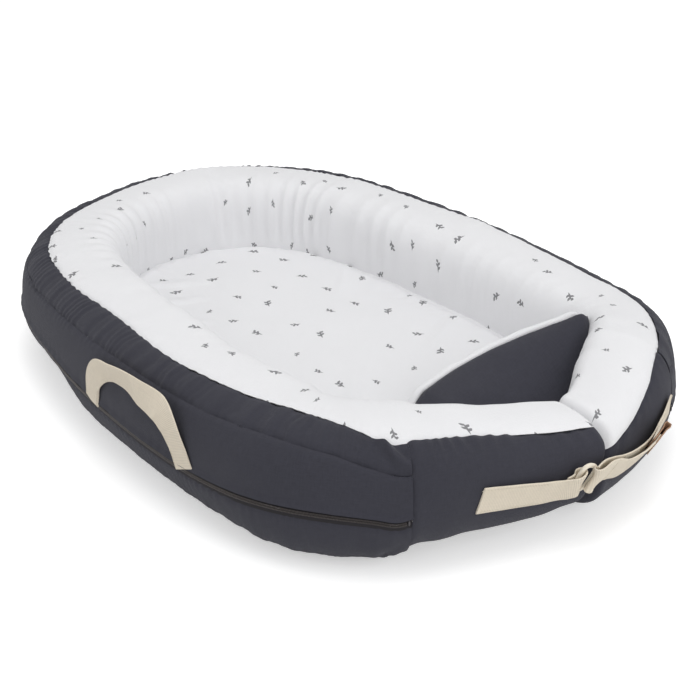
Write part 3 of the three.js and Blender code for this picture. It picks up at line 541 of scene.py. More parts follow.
def maths(nodes, links, operation, *values):
    """A Math node; numbers are set on its sockets and anything else is linked."""
    node = nodes.new("ShaderNodeMath")
    node.operation = operation
    for i, value in enumerate(values):
        if isinstance(value, (int, float)):
            node.inputs[i].default_value = value
        else:
            links.new(value, node.inputs[i])
    return node.outputs[0]


def noise_node(nodes, links, source, scale, detail):
    """A noise texture on the given coordinates."""
    node = nodes.new("ShaderNodeTexNoise")
    node.inputs["Scale"].default_value = scale
    node.inputs["Detail"].default_value = detail
    links.new(source, node.inputs["Vector"])
    return node.outputs["Fac"]


def mix_colours(nodes, links, factor, first, second):
    """A colour mix of two colours or linked outputs."""
    node = nodes.new("ShaderNodeMix")
    node.data_type = "RGBA"
    links.new(factor, node.inputs["Factor"])
    for socket, value in ((node.inputs["A"], first), (node.inputs["B"], second)):
        if isinstance(value, tuple):
            socket.default_value = (*value, 1)
        else:
            links.new(value, socket)
    return node.outputs["Result"]


def add_bump(nodes, links, shader, height, distance, strength):
    """Gives a shader a fine relief: height, from 0 to 1, is lifted by distance."""
    bump = nodes.new("ShaderNodeBump")
    bump.inputs["Distance"].default_value = distance
    bump.inputs["Strength"].default_value = strength
    links.new(height, bump.inputs["Height"])
    links.new(bump.outputs[0], shader.inputs["Normal"])


def linear(red, green, blue):
    """Screen colour, 0 to 255, as the linear light that shaders use."""
    def one(value):
        share = value / 255
        return share / 12.92 if share <= 0.04045 else ((share + 0.055) / 1.055) ** 2.4
    return one(red), one(green), one(blue)


def threads(nodes, links, thread, twill):
    """Height of a weave on the cloth map: two crossed rows of round threads, or slanted ones for twill."""
    uv = nodes.new("ShaderNodeUVMap")
    uv.uv_map = "cloth"
    split = nodes.new("ShaderNodeSeparateXYZ")
    links.new(uv.outputs[0], split.inputs[0])
    scale = 2 * math.pi / thread
    u = maths(nodes, links, "MULTIPLY", split.outputs[0], scale)
    v = maths(nodes, links, "MULTIPLY", split.outputs[1], scale)
    if twill:
        slant = maths(nodes, links, "MULTIPLY", v, twill)
        u = maths(nodes, links, "ADD", u, slant)
    warp = maths(nodes, links, "SINE", u)
    weft = maths(nodes, links, "SINE", v)
    both = maths(nodes, links, "MULTIPLY", warp, weft)
    return uv.outputs[0], maths(nodes, links, "MULTIPLY_ADD", both, 0.5, 0.5)


def streaks(nodes, links, uv, long, short, turned):
    """Uneven yarn: noise that is long one way of the cloth and short the other."""
    stretch = nodes.new("ShaderNodeMapping")
    scale = (1 / short, 1 / long, 1) if turned else (1 / long, 1 / short, 1)
    stretch.inputs["Scale"].default_value = scale
    links.new(uv, stretch.inputs["Vector"])
    return noise_node(nodes, links, stretch.outputs[0], 1.0, 2.0)


def cloth_finish(name, colour, thread, roughness, sheen, depth, mottle, twill=0.0):
    """Woven cloth: thread bump, uneven yarn both ways, painted shade in thread gaps, slow mottling, soft
    sheen.
    """
    material, nodes, links, shader = new_material(name)
    uv, weave = threads(nodes, links, thread, twill)
    place = nodes.new("ShaderNodeTexCoord").outputs["Object"]
    warp = streaks(nodes, links, uv, 9 * thread, 1.3 * thread, False)
    weft = streaks(nodes, links, uv, 9 * thread, 1.3 * thread, True)
    yarn = maths(nodes, links, "MULTIPLY", maths(nodes, links, "ADD", warp, weft), 0.5)
    dye = noise_node(nodes, links, place, 9.0, 4.0)
    # Painted shade: the colour falls to 70 percent in the gaps between threads, where the weave is low.
    gap = tuple(c * 0.70 for c in colour)
    base = mix_colours(nodes, links, weave, gap, colour)
    uneven = maths(nodes, links, "MULTIPLY_ADD", yarn, mottle * 12, 1 - mottle * 6)
    tone = maths(nodes, links, "MULTIPLY_ADD", dye, mottle * 3, 1 - mottle * 1.5)
    shade = nodes.new("ShaderNodeVectorMath")
    shade.operation = "SCALE"
    links.new(base, shade.inputs[0])
    links.new(maths(nodes, links, "MULTIPLY", uneven, tone), shade.inputs["Scale"])
    links.new(shade.outputs[0], shader.inputs["Base Color"])
    rough = maths(nodes, links, "MULTIPLY_ADD", yarn, 0.14, roughness - 0.07)
    links.new(rough, shader.inputs["Roughness"])
    shader.inputs["Sheen Weight"].default_value = sheen
    shader.inputs["Sheen Roughness"].default_value = 0.5
    shader.inputs["Specular IOR Level"].default_value = 0.22
    add_bump(nodes, links, shader, maths(nodes, links, "ADD", weave, yarn), depth, 0.6)
    return material, nodes, links, shader, shade.outputs[0]


DARK = linear(60, 60, 69)
WHITE = linear(247, 247, 249)
CREAM = linear(236, 225, 206)
PRINT = linear(104, 104, 107)
# Thread, roughness, sheen, relief and mottling of the white cotton, with its colour first.
WHITE_COTTON = (WHITE, 0.0012, 0.9, 0.05, 0.00022, 0.008)

dark_cloth = cloth_finish("dark cotton", DARK, 0.0011, 0.88, 0.07, 0.00035, 0.055)[0]

# %% [markdown]
# ## The print on the white cloth
#
# The white cotton carries a sparse grey print. Drawing every motif as a mesh would leave hard little chips on
# the cloth, so the print is part of the finish: the cloth map is cut into uneven cells, each cell turns its
# own way, and a small sprig is drawn in its middle from one thin stem and four pointed leaves.


# %% White cotton with a sprig print
LEAF_POWER = 1.6
CELL_RANDOMNESS = 0.55
SPRIG_SHARE = 0.78
INK_STRENGTH = 0.86
# In shares of the sprig's size: the stem's half width, how far a leaf's middle stands off the stem, and a
# leaf's half length and half width.
STEM_WIDE, LEAF_OFF, LEAF_LONG, LEAF_WIDE = 0.075, 0.13, 0.20, 0.105
LEAF_TURN = 0.85
# Place of each leaf along the stem, in the same shares, and the side on which it grows.
LEAF_SHARES = ((-0.10, 1), (0.07, -1), (0.24, 1), (0.39, -1))


def leaf(nodes, links, x, y, centre, turn, long, wide):
    """1 where |along / long|^1.6 + |across / wide| is under 1, about centre and turned by turn; else 0."""
    cos, sin = math.cos(turn), math.sin(turn)
    dx = maths(nodes, links, "SUBTRACT", x, centre[0])
    dy = maths(nodes, links, "SUBTRACT", y, centre[1])
    along = maths(nodes, links, "MULTIPLY_ADD", dx, cos, maths(nodes, links, "MULTIPLY", dy, sin))
    across = maths(nodes, links, "MULTIPLY_ADD", dy, cos, maths(nodes, links, "MULTIPLY", dx, -sin))
    a = maths(nodes, links, "ABSOLUTE", maths(nodes, links, "DIVIDE", along, long))
    b = maths(nodes, links, "ABSOLUTE", maths(nodes, links, "DIVIDE", across, wide))
    inside = maths(nodes, links, "ADD", maths(nodes, links, "POWER", a, LEAF_POWER), b)
    return maths(nodes, links, "LESS_THAN", inside, 1.0)


def printed_cloth(name, spacing, size):
    """White cotton whose cells each hold one sprig of the given size, or none."""
    material, nodes, links, shader, plain = cloth_finish(name, *WHITE_COTTON)
    uv = nodes.new("ShaderNodeUVMap")
    uv.uv_map = "cloth"
    cells = nodes.new("ShaderNodeTexVoronoi")
    cells.voronoi_dimensions = "2D"
    cells.inputs["Scale"].default_value = 1 / spacing
    cells.inputs["Randomness"].default_value = CELL_RANDOMNESS
    links.new(uv.outputs[0], cells.inputs["Vector"])
    local = nodes.new("ShaderNodeVectorMath")
    local.operation = "SUBTRACT"
    links.new(uv.outputs[0], local.inputs[0])
    links.new(cells.outputs["Position"], local.inputs[1])
    chance = nodes.new("ShaderNodeSeparateColor")
    links.new(cells.outputs["Color"], chance.inputs[0])
    spin = nodes.new("ShaderNodeVectorRotate")
    spin.rotation_type = "Z_AXIS"
    links.new(local.outputs[0], spin.inputs["Vector"])
    links.new(maths(nodes, links, "MULTIPLY", chance.outputs[0], 2 * math.pi), spin.inputs["Angle"])
    split = nodes.new("ShaderNodeSeparateXYZ")
    links.new(spin.outputs[0], split.inputs[0])
    grow = maths(nodes, links, "MULTIPLY_ADD", chance.outputs[1], 0.5, 0.75)
    x = maths(nodes, links, "DIVIDE", split.outputs[0], grow)
    y = maths(nodes, links, "DIVIDE", split.outputs[1], grow)
    parts = [leaf(nodes, links, x, y, (0, 0), 0, size / 2, size * STEM_WIDE)]
    for share, side in LEAF_SHARES:
        centre = (size * share, side * size * LEAF_OFF)
        turn = side * LEAF_TURN
        parts.append(leaf(nodes, links, x, y, centre, turn, size * LEAF_LONG, size * LEAF_WIDE))
    ink = parts[0]
    for part in parts[1:]:
        ink = maths(nodes, links, "MAXIMUM", ink, part)
    present = maths(nodes, links, "LESS_THAN", chance.outputs[2], SPRIG_SHARE)
    ink = maths(nodes, links, "MULTIPLY", ink, present)
    ink = maths(nodes, links, "MULTIPLY", ink, INK_STRENGTH)
    links.new(mix_colours(nodes, links, ink, plain, PRINT), shader.inputs["Base Color"])
    return material


white_print = printed_cloth("white cotton with sprigs", 0.054, 0.0145)
white_plain = cloth_finish("white cotton", *WHITE_COTTON)[0]
webbing = cloth_finish("cotton webbing", CREAM, 0.0017, 0.9, 0.08, 0.0005, 0.02, 1.0)[0]


def finish(item, material, body=None):
    """Gives a piece its material and its slot, and puts it on a body if one is named."""
    item.data.materials.append(material)
    if body:
        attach(item, body)
    return item


# %% [markdown]
# ## White cloth over the crest and the inner wall
#
# One width of white cotton runs over the whole rim. The stuffing makes it round, the curve of the head leaves
# too much cloth on the inside, and that shows as soft folds that run down the wall. The grid is worked out
# once for the whole rim and then parted at the head's middle, so the two halves meet without a step.


# %% White cloth, as one grid
LINER_ROWS, LINER_COLUMNS = 430, 84
LINER_CROWDING = 1.35
WALL_FROM, WALL_RISE = math.radians(80), math.radians(50)
WALL_TO, WALL_FALL = math.radians(200), math.radians(40)
WALL_FOLD, HEAD_FOLD = 0.0012, 0.0040
EDGE_PUCKER = 0.0016
LINER_WAVES = ((0.0028, 0.10, 0.08, 9), (0.0010, 0.035, 0.06, 12))
CAP_RUN = 0.03


def wall_folds(s, angle, across):
    """Height of the folds in the white cloth: gathers down the wall, puckers at its edge and slow waves."""
    wall = ease((angle - WALL_FROM) / WALL_RISE) * ease((WALL_TO - angle) / WALL_FALL)
    strength = WALL_FOLD + HEAD_FOLD * bell(s, 0.52, 4)
    drift = s + 0.012 * ripple(s, across, 0.09, 0.12, 3)
    folds = (gathers(drift, 0.034, 5, 1.3) - 0.35) * wall * strength
    puckers = gathers(s + 0.004 * ripple(s, across, 0.03, 0.05, 6), 0.013, 7, 1.2)
    edge = puckers * bell(across, 0.020) * EDGE_PUCKER * band_strength(s)
    return folds + edge + ripples(s, across, LINER_WAVES)


crowded = np.linspace(0, 1, LINER_ROWS) ** LINER_CROWDING
run = np.concatenate([TIP_LEFT * (1 - crowded), TIP_RIGHT * (1 - crowded[::-1])[1:]])
at = rim_station(run)
last = FLOOR_SEAM + (END_LINER - FLOOR_SEAM) * ease(at["on_end"])
angle = angles_between(liner_edge(run) + edge_scallop(run), last, LINER_COLUMNS)
points, centre, across, _ = rim_cloth(run, angle)
spread = run[:, None] + np.zeros_like(across)
lift = wall_folds(spread, angle, across) + seam_dip(across, 0.0018, 0.0030)
near_tip = ease(at["distance"] / CAP_RUN)[:, None]
points = points + outward(points, centre) * (lift * near_tip)[..., None]
cloth_normal = outward(points, centre)
crest = np.argmin(np.abs(angle - math.pi / 2), axis=1)
from_crest = across - np.take_along_axis(across, crest[:, None], axis=1)
cloth_map = np.stack([spread, from_crest], -1)

halves = {"left": slice(0, LINER_ROWS), "right": slice(LINER_ROWS - 1, len(run))}
for side, part in halves.items():
    liner = cloth_piece(f"rim_liner_{side}", points[part], cloth_normal[part], cloth_map[part])
    finish(liner, white_print)
    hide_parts("wall_liner", "bolster_core", f"end_liner_{side}", f"end_core_{side}")
    bend_with(liner)

# %% [markdown]
# ## Dark gathered band
#
# Under the crest a narrow band of dark cotton is gathered onto the white cloth, so that the cover can stretch
# round the rim. Its folds run across the band and are tightest round the head. The band could carry a bump
# only, but the folds cut the outline, so they are real geometry.


# %% Upper band
BAND_ROWS = 1150
BAND_START = 0.0002
BAND_FOLD, BAND_FOLD_PITCH = 0.0026, 0.0118
BAND_SWELL, BAND_SWELL_PITCH, BAND_SINK = 0.0022, 0.034, 0.0016
BAND_SLANT, BAND_STEADY = 0.12, 0.65
# No point of the cover goes under this height, so the nest stands level on the floor.
LOWEST = 0.0006
# Two deep tucks run into the left corner seam: start and end from the seam, width and height.
CORNER_TUCKS = (
    ((0.046, 0.050), (-0.004, 0.004), 0.008, 0.0060),
    ((0.032, 0.036), (0.012, 0.012), 0.005, 0.0030),
)


def sewn_cover(name, points, centre, lift, across):
    """A dark cloth of the cover: its grid, raised by lift along the normals that point away from centre."""
    points = points + outward(points, centre) * lift[..., None]
    points[..., 2] = np.maximum(points[..., 2], LOWEST)
    cloth_map = np.stack([u_spread + 0 * across, across], -1)
    item = cloth_piece(name, points, outward(points, centre), cloth_map)
    finish(item, dark_cloth, "nest")
    return item


u_run = np.linspace(SEAM_LEFT + BAND_START, SEAM_RIGHT - BAND_START, BAND_ROWS)
u_spread = u_run[:, None]
band_low = band_seam(rim_station(u_run))
band_high = liner_edge(u_run) + edge_scallop(u_run)
points, centre, across, to_last = rim_cloth(u_run, angles_between(band_low, band_high, 20))
strength = band_strength(u_spread)
drift = u_spread + BAND_SLANT * (across - 0.02) + 0.0035 * ripple(u_spread, across, 0.028, 0.018, 15)
uneven = partly(BAND_STEADY, ripple(u_spread, across, 0.022, 0.014, 16))
folds = gathers(drift, BAND_FOLD_PITCH, 17, 1.1) * BAND_FOLD * strength * uneven
wander = drift + 0.004 * ripple(u_spread, across, 0.05, 0.04, 18)
swell = gathers(wander, BAND_SWELL_PITCH, 19, 1.3) * BAND_SWELL - BAND_SINK
lift = folds + swell + seam_dip(across, 0.0015, 0.003) + seam_dip(to_last, 0.0012, 0.003)
for start, end, width, height in CORNER_TUCKS:
    lift = lift + crease(u_spread - SEAM_LEFT, across, start, end, width, height)
upper = sewn_cover("gathered_band", points, centre, lift, across)
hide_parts("upper_band")

# %% [markdown]
# ## Plain side panel
#
# Below the band the cover is one plain panel. It is pulled tight over the stuffing, so it carries only long
# shallow waves and short puckers where it is sewn to the gathered bands.

# %% Side panel
PANEL_OVER_ZIP, BAND_UNDER_ZIP = 0.0052, 0.0058
PANEL_WAVES = ((0.0011, 0.10, 0.07, 21), (0.0004, 0.024, 0.03, 22))
PANEL_PUCKER = 0.0010
PANEL_HEM, HEM_WAVE = 0.0022, 0.0006
panel_low = zip_angle(u_run, PANEL_OVER_ZIP)
points, centre, across, to_last = rim_cloth(u_run, angles_between(panel_low, band_low, 26))
puckers = gathers(u_spread, 0.0125, 23, 1.2) * PANEL_PUCKER * bell(to_last, 0.010) * strength
hem = PANEL_HEM * bell(across, 0.004) + HEM_WAVE * gathers(u_spread, 0.02, 25, 1.0) * bell(across, 0.012)
lift = ripples(u_spread, across, PANEL_WAVES) + puckers + seam_dip(to_last, 0.002, 0.003) + hem
side_cloth = sewn_cover("side_cloth", points, centre, lift, across)
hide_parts("side_panel")

# %% [markdown]
# ## Lower gathered band
#
# The cloth under the zip turns in beneath the nest and is drawn up by an elastic, so its folds grow towards
# the floor. They are rounder and wider than those of the upper band.

# %% Lower band
SMALL_FOLD, BIG_FOLD = 0.0014, 0.0016
LOWER_PUCKER = 0.0009
CORNER_BUNCH, BUNCH_RUN = 0.004, 0.045
LOWER_WAVE = 0.001
NEAR_ZIP, NEAR_FLOOR = 0.05, 0.03
FLOOR_STEADY, PATCH_STEADY, DRAWN_STEADY = 0.35, 0.35, 0.55
DRAWN_HEAD, DRAWN_SIDE = 0.45, 0.5
# At this distance along the outline the elastic draws the left side up hardest.
DRAWN_PLACE, DRAWN_RUN = -0.87, 0.13
band_top = zip_angle(u_run, -BAND_UNDER_ZIP)
lower_angle = angles_between(np.full(len(u_run), BOTTOM_SEAM), band_top, 34)
points, centre, across, to_last = rim_cloth(u_run, lower_angle)
drift = u_spread + 0.005 * ripple(u_spread, across, 0.05, 0.05, 27)
lower_share = ease(to_last / NEAR_ZIP) * partly(FLOOR_STEADY, ease((across - 0.02) / NEAR_FLOOR))
drawn = partly(DRAWN_STEADY, bell(u_spread, DRAWN_HEAD, 4))
drawn = drawn + DRAWN_SIDE * bell(u_spread - DRAWN_PLACE, DRAWN_RUN)
patchy = partly(PATCH_STEADY, ease(0.5 + wave(u_spread, 0.12, 38)))
small = gathers(drift, 0.0125, 29, 1.4) * SMALL_FOLD * patchy
folds = (small + gathers(drift, 0.047, 31, 1.2) * BIG_FOLD) * lower_share * drawn
puckers = gathers(u_spread, 0.011, 33, 1.2) * LOWER_PUCKER * bell(to_last, 0.012)
bunch = bell(u_spread - SEAM_LEFT, BUNCH_RUN) + bell(u_spread - SEAM_RIGHT, BUNCH_RUN)
corner = bunch * CORNER_BUNCH * ripple(u_spread, across, 0.012, 0.02, 35) * lower_share
lift = (folds + corner) * ease((across - 0.012) / 0.02) + puckers
lift = lift + LOWER_WAVE * ripple(u_spread, across, 0.09, 0.06, 36) + seam_dip(to_last, 0.0012, 0.0025)
lower = sewn_cover("lower_cloth", points, centre, lift, across)
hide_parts("lower_band")

# %% [markdown]
# ## Dark covers of the two free ends
#
# Each free end wears a dark sleeve outside and below, which meets the side pieces at the corner seam. It is
# the same rim surface again, closed in the cap.


# %% End covers
UNDERLAP = 0.02
COVER_ROWS, COVER_COLUMNS, COVER_CROWDING = 150, 80, 1.5
COVER_PUCKER, COVER_PUCKER_PITCH, COVER_PUCKER_RUN = 0.0024, 0.0175, 0.016
COVER_STEADY = 0.25


def end_cover(side, seed):
    """The sleeve of one free end, from the corner seam to the tip."""
    start, tip = (SEAM_LEFT, TIP_LEFT) if side == "left" else (SEAM_RIGHT, TIP_RIGHT)
    s = start + (tip - start) * (1 - (1 - np.linspace(0, 1, COVER_ROWS)) ** COVER_CROWDING)
    low = np.full(len(s), END_LINER - 2 * math.pi)
    high = liner_edge(s) + edge_scallop(s) + UNDERLAP
    points, centre, across, to_top = rim_cloth(s, angles_between(low, high, COVER_COLUMNS))
    far = s[:, None]
    lift = ripples(far, across, ((0.0013, 0.07, 0.06, seed), (0.0005, 0.022, 0.03, seed + 1)))
    drift = far + 0.003 * ripple(far, across, 0.02, 0.02, seed + 2)
    small = gathers(drift, COVER_PUCKER_PITCH, seed + 3, 1.2)
    patchy = partly(COVER_STEADY, ease(0.5 + wave(far, 0.045, seed + 4)))
    lift = lift + small * patchy * COVER_PUCKER * bell(to_top, COVER_PUCKER_RUN)
    lift = lift + seam_dip(to_top, 0.002, 0.003) + seam_dip(np.abs(far - start) + 0 * across, 0.0015, 0.003)
    lift = lift * ease(rim_station(s)["distance"] / CAP_RUN)[:, None]
    points = points + outward(points, centre) * lift[..., None]
    cloth_map = np.stack([far + 0 * across, across], -1)
    item = cloth_piece(f"end_sleeve_{side}", points, outward(points, centre), cloth_map)
    finish(item, dark_cloth)
    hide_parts(f"end_cover_{side}")
    bend_with(item)


end_cover("left", 51)
end_cover("right", 61)

# %% [markdown]
# ## Lying surface
#
# The lying surface is a thin pad in a white cotton cover that fills the hollow of the rim. It is a closed
# form: rings run out from the middle of its crowned top, turn down at the wall and come back underneath. The
# cloth dips where it is sewn to the wall, and a few soft folds run out of the foot's left corner.


# %% Pad outline and height
FLOOR_HEIGHT = 0.061
FLOOR_CROWN = 0.007
CROWN_HALF = np.array([0.1827, 0.230])
CROWN_MIDDLE = np.array([0, 0.060])
PAD_BOTTOM = 0.0023
PAD_TUCK = 0.005
PAD_MIDDLE = np.array([0.0, 0.02])
PAD_COLUMNS, PAD_RINGS, PAD_CROWDING = 420, 84, 1.25
SIDE_STEPS, UNDER_STEPS = 9, 12
FADE_RUN = 0.10
# The pad's map starts here on the endless print, away from the part that the rim shows.
PRINT_SHIFT = 3.0


def wall_inset(at, tuck):
    """How far inside the outline the inner wall stands, less a tuck into the stuffing."""
    return (OUTER_HALF * (1 - TIP_WIDTH_LOSS * at["end_share"]) + at["inner"] - tuck)[:, None]


def inset_line(count, tuck, fade=0):
    """Points along the inner wall, from the left tip round to the right. fade ends the tuck near the tips."""
    at = rim_station(np.linspace(-LEFT_RUN + 0.001, RIGHT_RUN - 0.001, count))
    tuck = tuck * ease((at["distance"] - fade) / FADE_RUN) if fade else tuck
    return at["point"] + at["inset"] * wall_inset(at, tuck)


def floor_height(x, y):
    """Height of the pad's top: level near the wall, crowned in the middle."""
    across = (x - CROWN_MIDDLE[0]) / CROWN_HALF[0]
    along = (y - CROWN_MIDDLE[1]) / CROWN_HALF[1]
    off = 1 - across**2 - along**2
    return FLOOR_HEIGHT + FLOOR_CROWN * np.clip(off, 0, 1) ** 2


FLOOR_WAVES = ((0.0022, 0.075, 0.095, 71), (0.0007, 0.03, 0.04, 72))
WALL_DIP, WALL_DIP_WIDTH = 0.0045, 0.009
RADIAL_FOLD, RADIAL_PITCH, RADIAL_PLACE, RADIAL_WIDTH = 0.0032, 0.13, 0.018, 0.020
# Folds of the lying surface: start, end, width and height of each. Most of them leave the foot's left corner.
FLOOR_CREASES = [
    ((-0.150, -0.262), (-0.035, -0.110), 0.012, 0.0050),
    ((-0.158, -0.225), (-0.110, -0.055), 0.011, 0.0045),
    ((-0.140, -0.272), (0.020, -0.180), 0.011, 0.0042),
    ((-0.172, -0.190), (-0.155, -0.030), 0.008, 0.0036),
    ((-0.110, -0.250), (0.080, -0.212), 0.010, 0.0034),
    ((-0.165, 0.150), (-0.085, 0.100), 0.012, 0.0038),
    ((-0.150, 0.215), (-0.050, 0.165), 0.012, 0.0042),
    ((-0.110, 0.265), (-0.020, 0.205), 0.012, 0.0036),
    ((0.160, 0.150), (0.080, 0.070), 0.014, 0.0026),
    ((0.172, -0.050), (0.070, -0.110), 0.014, 0.0028),
    ((0.172, -0.150), (0.060, -0.175), 0.012, 0.0030),
]


def floor_folds(x, y, from_wall):
    """Folds of the lying surface: slow waves, a dip along the wall's seam, short folds that run out from the
    seam, and the listed creases."""
    up = ripples(x, y, FLOOR_WAVES) - WALL_DIP * bell(from_wall - PAD_TUCK, WALL_DIP_WIDTH)
    radial = gathers(np.arctan2(x, y) + 0.05 * ripple(x, y, 0.03, 0.03, 75), RADIAL_PITCH, 73, 1.3) - 0.4
    up = up + RADIAL_FOLD * radial * bell(from_wall - RADIAL_PLACE, RADIAL_WIDTH)
    for start, end, width, height in FLOOR_CREASES:
        up = up + crease(x, y, start, end, width, height)
    return up


# %% Lying surface
edge = inset_line(PAD_COLUMNS, PAD_TUCK)
spoke = edge - PAD_MIDDLE
share = 1 - (1 - np.linspace(0, 1, PAD_RINGS)) ** PAD_CROWDING
top_plan = PAD_MIDDLE + spoke[None, :, :] * share[:, None, None]
from_wall = np.linalg.norm(spoke, axis=1)[None, :] * (1 - share[:, None])
x, y = top_plan[..., 0], top_plan[..., 1]
top_z = floor_height(x, y) + floor_folds(x, y, from_wall)
side_z = np.linspace(1, 0, SIDE_STEPS)[1:-1, None] * (top_z[-1] - PAD_BOTTOM) + PAD_BOTTOM
side_plan = np.broadcast_to(edge, (SIDE_STEPS - 2, len(edge), 2))
under_plan = PAD_MIDDLE + spoke[None, :, :] * np.linspace(1, 0, UNDER_STEPS)[:, None, None]
plan_rows = np.concatenate([top_plan, side_plan, under_plan])
z_rows = np.concatenate([top_z, side_z, np.full(under_plan.shape[:2], PAD_BOTTOM)])
pad_points = np.concatenate([plan_rows, z_rows[..., None]], axis=2)
pad_uv = (plan_rows + PRINT_SHIFT).reshape(-1, 2)
faces = quads_of(*pad_points.shape[:2], wrap=True).tolist()
pad = make_object("lying_pad", pad_points.reshape(-1, 3), faces, pad_uv, sharp=math.radians(60))
finish(pad, white_print, "nest")
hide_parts("floor_liner", "mattress_pad")

# %% [markdown]
# ## Underside
#
# One flat cloth closes the underside. It is cut to a line under the rim and lies stretched on the floor, so a
# thin closed sheet with hardly any waves is enough.

# %% Base cloth
BASE_TUCK, BASE_FADE = 0.047, 0.16
BASE_COLUMNS, BASE_RINGS = 300, 24
BASE_WAVE, BASE_LIFT = 0.0003, 0.0004
base_edge = inset_line(BASE_COLUMNS, BASE_TUCK, BASE_FADE)
base_plan = PAD_MIDDLE + (base_edge - PAD_MIDDLE)[None] * np.linspace(0, 1, BASE_RINGS)[:, None, None]
base_up = BASE_WAVE * ripple(base_plan[..., 0], base_plan[..., 1], 0.04, 0.05, 77) + BASE_LIFT
base_low = np.concatenate([base_plan, 0 * base_up[..., None]], axis=2)
base_high = np.concatenate([base_plan[::-1], (base_up + CLOTH)[::-1, :, None]], axis=2)
base_rows = np.concatenate([base_low, base_high])
faces = quads_of(*base_rows.shape[:2], wrap=True).tolist()
base_uv = base_rows[..., :2].reshape(-1, 2)
base = make_object("base_sheet", base_rows.reshape(-1, 3), faces, base_uv, sharp=math.radians(60))
finish(base, dark_cloth, "nest")
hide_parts("base_cloth")

# %% [markdown]
# ## Foot panel
#
# At the foot a dark stuffed wedge rises from the lying surface. Its head edge is a soft corner that climbs
# from left to right, its right side is tucked in beside the right end and its left corner drops behind the
# near end. One function gives the height of its top, and the grid runs from the head edge to the walls.


# %% Foot panel shape
PANEL_EDGE = -0.223
PANEL_BOW = 0.055
PANEL_LENGTH = 0.096
PANEL_HEIGHT = 0.103
PANEL_TILT = 0.048
PANEL_LOW = 0.0666
PANEL_LIFT = 0.0006
PANEL_REACH = 0.1827
PANEL_CORNER = -0.080
PANEL_CORNER_RUN = 0.050
RIGHT_TUCK = 0.008
LEFT_TUCK = 0.004
PANEL_ROUNDNESS = 1.7
# The panel ends where it would be less deep than this, and everywhere it is at least this thick.
LEAST_DEEP, LEAST_THICK = 0.0015, 0.003
PANEL_COLUMNS, PANEL_ROWS, PANEL_DOWN = 130, 52, 8
BELLY, BELLY_RUN = 0.006, 0.06
WALL_SINK, WALL_SINK_WIDTH, WALL_SINK_RUN = 0.012, 0.011, 0.03
RIGHT_SINK, RIGHT_SINK_WIDTH = 0.009, 0.006
EDGE_SINK, EDGE_SINK_WIDTH = 0.0030, 0.0035
PANEL_WRINKLES = ((0.0012, 0.045, 0.03, 81), (0.0004, 0.016, 0.014, 82))


def panel_edge_y(x):
    """The panel's head edge bows towards the head: y = edge - bow (x / reach)^2."""
    return PANEL_EDGE - PANEL_BOW * (x / PANEL_REACH) ** 2


def panel_slope(x, y):
    """Round slope from the head edge down to the low foot, with its left corner let down."""
    back = np.clip((panel_edge_y(x) - y) / PANEL_LENGTH, 0, 1)
    top = PANEL_HEIGHT + PANEL_TILT * x / PANEL_REACH
    corner = ease((x - PANEL_CORNER) / PANEL_CORNER_RUN)
    return PANEL_LOW + (top - PANEL_LOW) * (1 - back**PANEL_ROUNDNESS) * corner


def wall_line(side, tuck, x):
    """y of an end's inner wall as a function of x."""
    at = half_station(PLANS[side], np.linspace(0.001, 0.42, 400))
    line = at["point"] + at["inset"] * wall_inset(at, tuck)
    order = np.argsort(line[:, 0])
    return np.interp(x, line[order, 0], line[order, 1])


# The line of the two walls behind the panel, smoothed over a window where the ends meet.
scan = np.linspace(-0.17, 0.185, 1400)
far_wall = wall_line("right", RIGHT_TUCK, scan)
far_wall = np.where(scan < TIP_OFFSET, wall_line("left", LEFT_TUCK, scan), far_wall)
WINDOW = 80
padded_wall = np.pad(far_wall, WINDOW // 2, mode="edge")
far_wall = np.convolve(padded_wall, np.ones(WINDOW) / WINDOW, mode="same")[WINDOW // 2 : -WINDOW // 2]
inside = scan[panel_edge_y(scan) - far_wall > LEAST_DEEP]
panel_left, panel_right = inside.min(), inside.max()
print("panel from", round(panel_left, 4), "to", round(panel_right, 4))

panel_x = np.linspace(panel_left, panel_right, PANEL_COLUMNS)
head_y = panel_edge_y(panel_x)
foot_y = np.interp(panel_x, scan, far_wall)
back = np.linspace(0, 1, PANEL_ROWS)[None, :]
px = np.broadcast_to(panel_x[:, None], (PANEL_COLUMNS, PANEL_ROWS))
py = head_y[:, None] * (1 - back) + foot_y[:, None] * back
to_wall = py - foot_y[:, None]
from_edge = back * (head_y - foot_y)[:, None]
pz = panel_slope(px, py) + BELLY * np.sin(np.pi * back) * ease((px - panel_left) / BELLY_RUN)
pz = pz - WALL_SINK * bell(to_wall, WALL_SINK_WIDTH) * ease((head_y - foot_y) / WALL_SINK_RUN)[:, None]
pz = pz - RIGHT_SINK * bell(panel_right - px, RIGHT_SINK_WIDTH) + ripples(px, py, PANEL_WRINKLES)
pz = pz - EDGE_SINK * bell(from_edge, EDGE_SINK_WIDTH)
low = np.full_like(pz, FLOOR_HEIGHT + PANEL_LIFT)
panel_top = np.stack([px, py, np.maximum(pz, low + LEAST_THICK)], -1)


def upright(line, foot, steps):
    """Points straight down from a line of points to a foot height, the line itself left out."""
    down = np.linspace(1, 0, steps)[1:, None]
    z = foot[:, None, None] + (line[:, 2] - foot)[:, None, None] * down
    flat = np.broadcast_to(line[:, None, :2], (len(line), steps - 1, 2))
    return np.concatenate([flat, z], axis=2)


wall_side = upright(panel_top[:, -1], low[:, -1], PANEL_DOWN)
under = np.stack([px, py, low], -1)[:, ::-6][:, 1:]
head_side = upright(panel_top[:, 0], low[:, 0], PANEL_DOWN)[:, ::-1]
rings = np.concatenate([panel_top, wall_side, under, head_side], axis=1)
panel = tube_piece("foot_panel", rings, rings[..., :2], sharp=math.radians(55))
finish(panel, dark_cloth, "nest")
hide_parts("foot_panel_cover", "foot_panel_pad")

